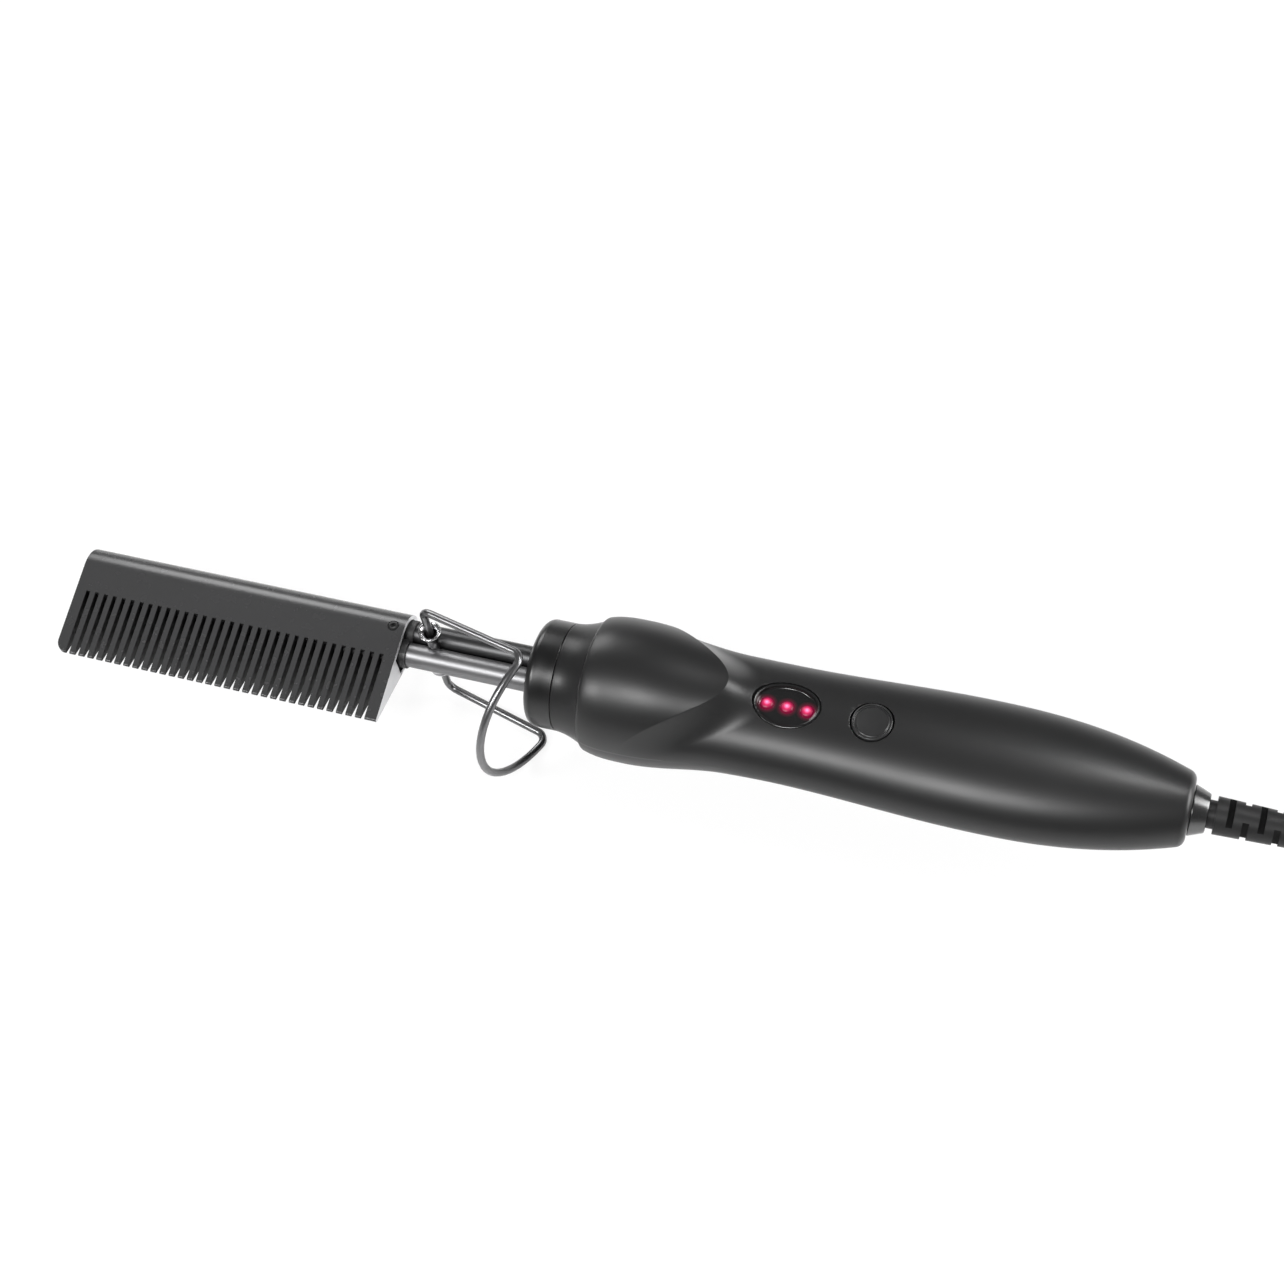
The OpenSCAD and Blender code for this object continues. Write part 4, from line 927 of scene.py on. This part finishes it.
def makeHandle():
    upper, lower = makeShell(True), makeShell(False)
    gap = controls["gap"]
    cutAway(upper, lofted("cut", ovalRing([gap, gap], lambda row, y: (3.1, 12)[row]), 2, 72))
    cutAway(upper, rod(2.6, 14, controls["button"] / 2 + controls["buttonGap"], buttonX, 0, 72, True))
    for at in handle["bosses"]:
        x = shellX + at
        seat = skinAt(x, 0, False)[1]
        joinOn(lower, rod(-seat + 1, -0.05, handle["bossRadius"], x, 0, 32, True))
        cutAway(lower, rod(-18, 1, handle["bossBore"], x, 0, 24, True),
                rod(-18, handle["screwDeep"] - seat, handle["screwHead"], x, 0, 32, True))
    for piece, node in ((upper, "handle_upper"), (lower, "handle_lower")):
        softEdges(piece, 0.14, 2, 55, 32)
        belong(piece, "tool", "handle_plastic", node)


plain("handle_plastic", "handlePlastic", grey(0.0075), grey(0.009), 30, 0.37, 0.05, 0.22, 0.006, shine=0.36)
makeCollar()
makeNeck()
makeHandle()
print("handle made")

# Window, lights and button
plain("button_plastic", "buttonPlastic", grey(0.01), grey(0.013), 8, 0.34, 0.06, 0.3, 0.004, shine=0.38)


def makeWindow():
    top = halfTop(windowX) - controls["gap"]
    floor = halfTop(windowX) - controls["windowDeep"] - controls["gap"]
    wall = controls["windowWall"]

    def skin(y):
        return top * math.sqrt(1 - (y / halfWide(windowX)) ** 2)

    # Rings from the underside up the wall, over the brim and down to the dish's floor
    grow = [0, 0, -0.12, -0.55, -0.7, -0.85, -1.3, -5.4]
    lift = [None, -0.12, 0, 0, -0.1, None, None, None]

    def height(row, y):
        if row == 0:
            return floor - wall
        if lift[row] is not None:
            return skin(y) + lift[row]
        return {5: floor + 0.4, 6: floor + 0.05, 7: floor}[row]

    dish = lofted("indicatorWindow", ovalRing(grow, height), len(grow), 96)
    for i in (-1, 0, 1):
        cutAway(dish, rod(floor - 3, floor + 3, controls["light"] / 2 + 0.08,
                          windowX + i * controls["lightStep"], 0, 40, True))
    softEdges(dish, 0.06, 2, 50, 40)
    belong(dish, "tool", "window_gloss", "indicator_window")
    return floor


def fromLight(look):
    # Distance from the nearest light's own middle, in lens radii
    step = controls["lightStep"] * mm
    along = look.axis("X") - spot(windowX).x
    nearest = look.node("ShaderNodeClamp", inputs={
        "Value": look.math("ROUND", along / step), "Min": -1.0, "Max": 1.0})
    along, across = along - nearest * step, look.axis("Y") - seam.y
    return (along * along + across * across) ** 0.5 / (controls["light"] * mm / 2)


def glow():
    look = Look("lensGlow")
    away = fromLight(look)
    colour = look.ramp(away + look.noise(0.4) * 0.06, (0.0, (1.0, 0.6, 0.85)), (0.24, (1.0, 0.24, 0.5)),
                       (0.5, (0.62, 0.012, 0.1)), (0.95, (0.12, 0.0, 0.02)))
    look.set(BaseColor=look.blend(away, (0.2, 0.02, 0.05), (0.06, 0.003, 0.01)), EmissionColor=colour,
             Roughness=0.3 + look.noise(0.5) * 0.08)
    look.shader.inputs["Emission Strength"].default_value = 1.0
    look.shader.inputs["Specular IOR Level"].default_value = 0.2
    return look


def glossWithPaintedGlow():
    look = finish("windowGlossPaintedGlow", grey(0.006), grey(0.009), 12, 0.2, 0.05, 1.0, 0.002, shine=0.35)
    # The window itself glows red round each light: painted light, the window is no lamp
    look.set(EmissionColor=look.ramp(fromLight(look) / 2, (0.5, (0.2, 0.0, 0.03)), (0.62, (0.06, 0.0, 0.01)),
                                     (0.85, (0.0, 0.0, 0.0))))
    look.shader.inputs["Emission Strength"].default_value = 1.0
    return look


addLook("light_lens", glow())
addLook("window_gloss", glossWithPaintedGlow())
windowFloor = makeWindow()


def makeLights():
    lenses = []
    radius, low, rise = controls["light"] / 2, controls["lightLow"], controls["lightRise"]
    top = windowFloor + rise
    dome = [(top - rise * (1 - math.sin(a)), radius * math.cos(a))
            for a in (math.radians(9 * i) for i in range(11))]
    for i in (-1, 0, 1):
        lens = turned("lens", [(low, 0), (low, radius)] + dome[:-1] + [(top, 0)], 48, True)
        lenses.append(moved(lens, windowX + i * controls["lightStep"]))
    piece = smoothBy(gather(lenses, "indicatorLights"), 40)
    belong(piece, "tool", "light_lens", "indicator_lights")


def makeButton():
    radius, top = controls["button"] / 2 - controls["buttonTrim"], halfTop(buttonX) - 0.05
    low, skirt = controls["plunger"], top - controls["skirt"]
    groove = [(top, radius - 0.42), (top - 0.3, radius - 0.55), (top - 0.36, radius - 0.78),
              (top - 0.3, radius - 0.95)]
    cup = [(top - 0.12 - 0.1 * (1 - (i / 6) ** 2), controls["cup"] * i / 6) for i in range(6, 0, -1)]
    outline = [(low, 0), (low, 2), (top - 1.6, 2), (top - 1.6, radius - 1.2), (skirt, radius - 1.2),
               (skirt, radius - 0.2), (top - 1.6, radius - 0.2), (top - 1.5, radius), (top - 0.35, radius),
               (top - 0.12, radius - 0.1), (top, radius - 0.3), *groove, *cup, (top - 0.22, 0)]
    piece = turned("powerButton", outline, 96, True, buttonX)
    softEdges(piece, 0.05, 2, 55, 40)
    belong(piece, "button", "button_plastic", "power_button")


makeLights()
makeButton()
print("controls made")

# Swivel and strain relief
plain("swivel_plastic", "swivelGrey", grey(0.007), grey(0.01), 10, 0.24, 0.06, 0.6, 0.003, shine=1.0)
# The faces of the relief's slots are painted near black: painted shade in the gaps
plain("relief_gap_painted_shade", "reliefGapPaintedShade", grey(0.002), grey(0.004), 5, 0.7, 0.12, 0.3, 0.012, shine=0.1)
plain("relief_rubber", "reliefRubber", grey(0.009), grey(0.013), 5, 0.46, 0.12, 0.3, 0.012, shine=0.2)
swivel = {"cone": 145.3, "coneLong": 3.6, "coneRadius": 5.8, "coneFall": 1.3, "flange": 142.7,
          "flangeRadius": 5.2, "shaft": 4.2, "barrel": 3.1, "journal": 2.2}
relief = {"start": 148.9, "end": 186.85, "radius": 4.3, "neck": 3.2, "neckLong": 1.6, "endRadius": 3.2,
          "core": 2.2, "slot": 1.4, "first": 4.1, "pitch": 3.4}


def makeSwivel():
    cone, far = swivel["cone"], swivel["cone"] + swivel["coneLong"]
    wide = swivel["coneRadius"]
    narrow = wide - swivel["coneFall"]
    flange, brim, shaft = swivel["flange"], swivel["flangeRadius"], swivel["shaft"]
    barrel, journal = swivel["barrel"], swivel["journal"]
    inner = (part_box("swivel_body")[0].x - seam.x) / mm
    outline = [(inner, 0), (inner, journal), (flange - 7.5, journal), (flange - 7.5, barrel),
               (flange - 1.4, barrel), (flange - 1.4, brim), (flange, brim), (flange, shaft), (cone, shaft),
               (cone, wide - 0.2), (cone + 0.08, wide - 0.04), (cone + 0.3, wide - 0.05),
               (far - 0.5, narrow + 0.12), (far - 0.12, narrow - 0.08), (far, narrow - 0.4), (far, 0)]
    piece = turned("cordSwivel", outline, 80)
    softEdges(piece, 0.04, 1, 60, 35)
    belong(piece, "swivel", "swivel_plastic", "swivel_body")


def makeRelief():
    start, end = relief["start"], relief["end"]
    body = start + relief["neckLong"]
    piece = turned("strainRelief", [
        (start, 0), (start, relief["neck"]), (body, relief["neck"]), (body, relief["radius"]),
        (end - 0.4, relief["endRadius"] + 0.02), (end, relief["endRadius"] - 0.3), (end, 0)], 64)
    finishes = ("relief_rubber", "relief_gap_painted_shade")
    dress(piece, *finishes)
    first = start + relief["first"]
    count = int((end - 4 - first) / relief["pitch"])
    for i in range(count):
        x = first + i * relief["pitch"]
        for side in (-1, 1):
            inner, outer = sorted((side * relief["core"], side * (relief["radius"] + 1)))
            low, high = ((x, -6, inner), (x + relief["slot"], 6, outer)) if i % 2 == 0 else \
                ((x, inner, -6), (x + relief["slot"], outer, 6))
            # Each slot's faces take the painted shade
            cutAway(piece, paint(block(low, high), finishes, 1))
    softEdges(piece, 0.1, 2, 40, 35)
    belong(piece, "swivel", "relief_rubber", "strain_relief")


makeSwivel()
makeRelief()
print("swivel and relief made")

# Finishes of the nodes that keep their solids
plain("aluminium", "barAluminium", grey(0.5), grey(0.62), 4, 0.34, 0.12, 0.2, 0.006, 1.0,
      stretch=(0.1, 1, 1))
plain("ceramic", "ceramic", (0.55, 0.51, 0.42), (0.64, 0.6, 0.5), 2, 0.7, 0.1, 0.15, 0.02)
plain("insulator", "insulator", grey(0.012), grey(0.02), 3, 0.5, 0.12, 0.25, 0.015)
plain("clamp_resin", "clampResin", (0.5, 0.45, 0.36), (0.58, 0.53, 0.43), 5, 0.55, 0.1, 0.3, 0.02)
plain("plunger_plastic", "plungerNylon", grey(0.56), grey(0.64), 2, 0.45, 0.1, 0.3, 0.01)
plain("switch_plastic", "switchNylon", grey(0.016), grey(0.026), 2, 0.5, 0.1, 0.3, 0.01)
plain("board", "boardGreen", (0.01, 0.07, 0.035), (0.025, 0.13, 0.065), 2, 0.35, 0.1, 0.5, 0.02)
plain("steel", "zincSteel", grey(0.4), grey(0.52), 1, 0.3, 0.12, 0.15, 0.004, 1.0)
plain("capacitor_case", "capacitorBlue", (0.02, 0.04, 0.09), (0.04, 0.07, 0.14), 3, 0.3, 0.1, 0.4, 0.01)
plain("fuse_case", "fuseNickel", grey(0.55), grey(0.65), 2, 0.25, 0.1, 0.2, 0.003, 1.0)
plain("lead_insulation", "glassSleeve", (0.5, 0.46, 0.36), (0.68, 0.64, 0.54), 0.4, 0.7, 0.15, 0.25, 0.05)
plain("supply_insulation", "leadVinyl", grey(0.035), grey(0.05), 4, 0.4, 0.1, 0.4, 0.01)
plain("brass", "stampedBrass", (0.55, 0.38, 0.12), (0.65, 0.46, 0.17), 2, 0.28, 0.12, 0.2, 0.004, 1.0)
slotOf = {part["node"]: part["material_slot"] for part in frame["record"]["subparts"]}
for node, piece in frame["nodes"].items():
    if not piece.hide_render:
        dress(piece, slotOf[node])
print("finishes set")

# Studio: a pale floor, a sky that is light low down and dim overhead, and the soft boxes
studio = {"floor": 6.0, "white": 0.86, "horizon": 0.44, "overhead": 0.14, "edge": 0.1, "fade": 0.3,
          "half": 0.15,
          "mirroredWithShadow": [(-0.4, 0.3), (-0.2, 0.7), (-0.1, 0.5), (-0.04, 0.02), (0.02, 0.04), (0.07, 0.9),
                       (0.12, 0.7), (0.25, 0.2), (0.4, 0.15)]}


def plainGrey(level):
    return (level, level, level)


def makeFloor():
    clearSelection()
    bpy.ops.mesh.primitive_plane_add(size=studio["floor"], location=(0, 0, -0.2 * mm))
    floor = bpy.context.object
    floor.name = "studioFloor"
    look = Look("paleFloor")
    look.set(BaseColor=look.blend(look.noise(60), plainGrey(0.88), plainGrey(0.9)), Roughness=0.9)
    # What the object mirrors of the floor: little close to it, where the tool's shadow is painted in, most a
    # hand away in front, less further off.
    # The distance is from the tool's line, negative in front
    side = look.axis("Y")
    beyond = look.math("MAXIMUM", look.math("ABSOLUTE", look.axis("X")) - studio["half"])
    away = (beyond * beyond + side * side) ** 0.5 * look.math("SIGN", side)
    # The ramp holds the painted shadow close to the tool
    fade = look.ramp(away + 0.5, *((place + 0.5, plainGrey(level)) for place, level in studio["mirroredWithShadow"]))
    isCamera, isGlossy, isThrough = (look.node("ShaderNodeLightPath", output=name) for name in (
        "Is Camera Ray", "Is Glossy Ray", "Is Transmission Ray"))
    seen = look.math("MAXIMUM", isCamera, look.math("MAXIMUM", isGlossy, isThrough) * fade)
    white = look.node("ShaderNodeEmission", inputs={"Color": (1.0, 1.0, 1.0), "Strength": 1.0})
    joined = look.node("ShaderNodeMixShader", inputs={
        0: seen * studio["white"], 1: Signal(look, look.shader.outputs[0]), 2: white})
    look.links.new(joined.socket, look.nodes["Material Output"].inputs[0])
    floor.data.materials.append(look.material)


def makeSky():
    world = bpy.data.worlds.new("studioSky")
    bpy.context.scene.world = world
    world.use_nodes = True
    tree = world.node_tree
    place, split, ramp, rays, brighter = (tree.nodes.new("ShaderNode" + kind) for kind in (
        "TexCoord", "SeparateXYZ", "ValToRGB", "LightPath", "Math"))
    low, high = plainGrey(studio["horizon"]), plainGrey(studio["overhead"])
    setStops(ramp.color_ramp, [(0.0, low), (studio["edge"], low), (studio["fade"], high), (1.0, high)])
    tree.links.new(place.outputs["Generated"], split.inputs[0])
    tree.links.new(split.outputs["Z"], ramp.inputs[0])
    # Seen directly, the sky is white like the floor
    brighter.operation = "MAXIMUM"
    tree.links.new(ramp.outputs[0], brighter.inputs[0])
    tree.links.new(rays.outputs["Is Camera Ray"], brighter.inputs[1])
    tree.links.new(brighter.outputs[0], tree.nodes["Background"].inputs["Color"])


def softBox(name, place, aim, width, height, level):
    # A level of 1 is a white that a screen just shows
    bpy.ops.object.light_add(type="AREA", location=spot(*place))
    lamp = bpy.context.object
    lamp.name = name
    lamp.visible_camera = False
    lamp.data.shape = "RECTANGLE"
    lamp.data.size, lamp.data.size_y = width * mm, height * mm
    lamp.data.energy = level * math.pi * width * height * mm * mm
    # The long side runs along the tool
    back = (spot(*place) - spot(*aim)).normalized()
    along = (Vector((1, 0, 0)) - back * back.x).normalized()
    lamp.rotation_euler = Matrix((along, back.cross(along), back)).transposed().to_euler()


makeFloor()
makeSky()
bpy.context.scene.view_settings.view_transform = "Standard"
softBox("frontBox", (-95, -820, 1220), (60, 0, 0), 340, 350, 40)
softBox("sideBox", (-670, -690, 860), (10, -9, 14), 280, 260, 44)
softBox("tailBox", (198, 205, 405), (128, 1, 9), 70, 70, 50)
softBox("combBox", (-182, 212, 180), (-75, 0, 0), 160, 130, 8)
softBox("endCard", (743, 234, 324), (-41, 0, 0), 500, 400, 12)
print("studio lit")
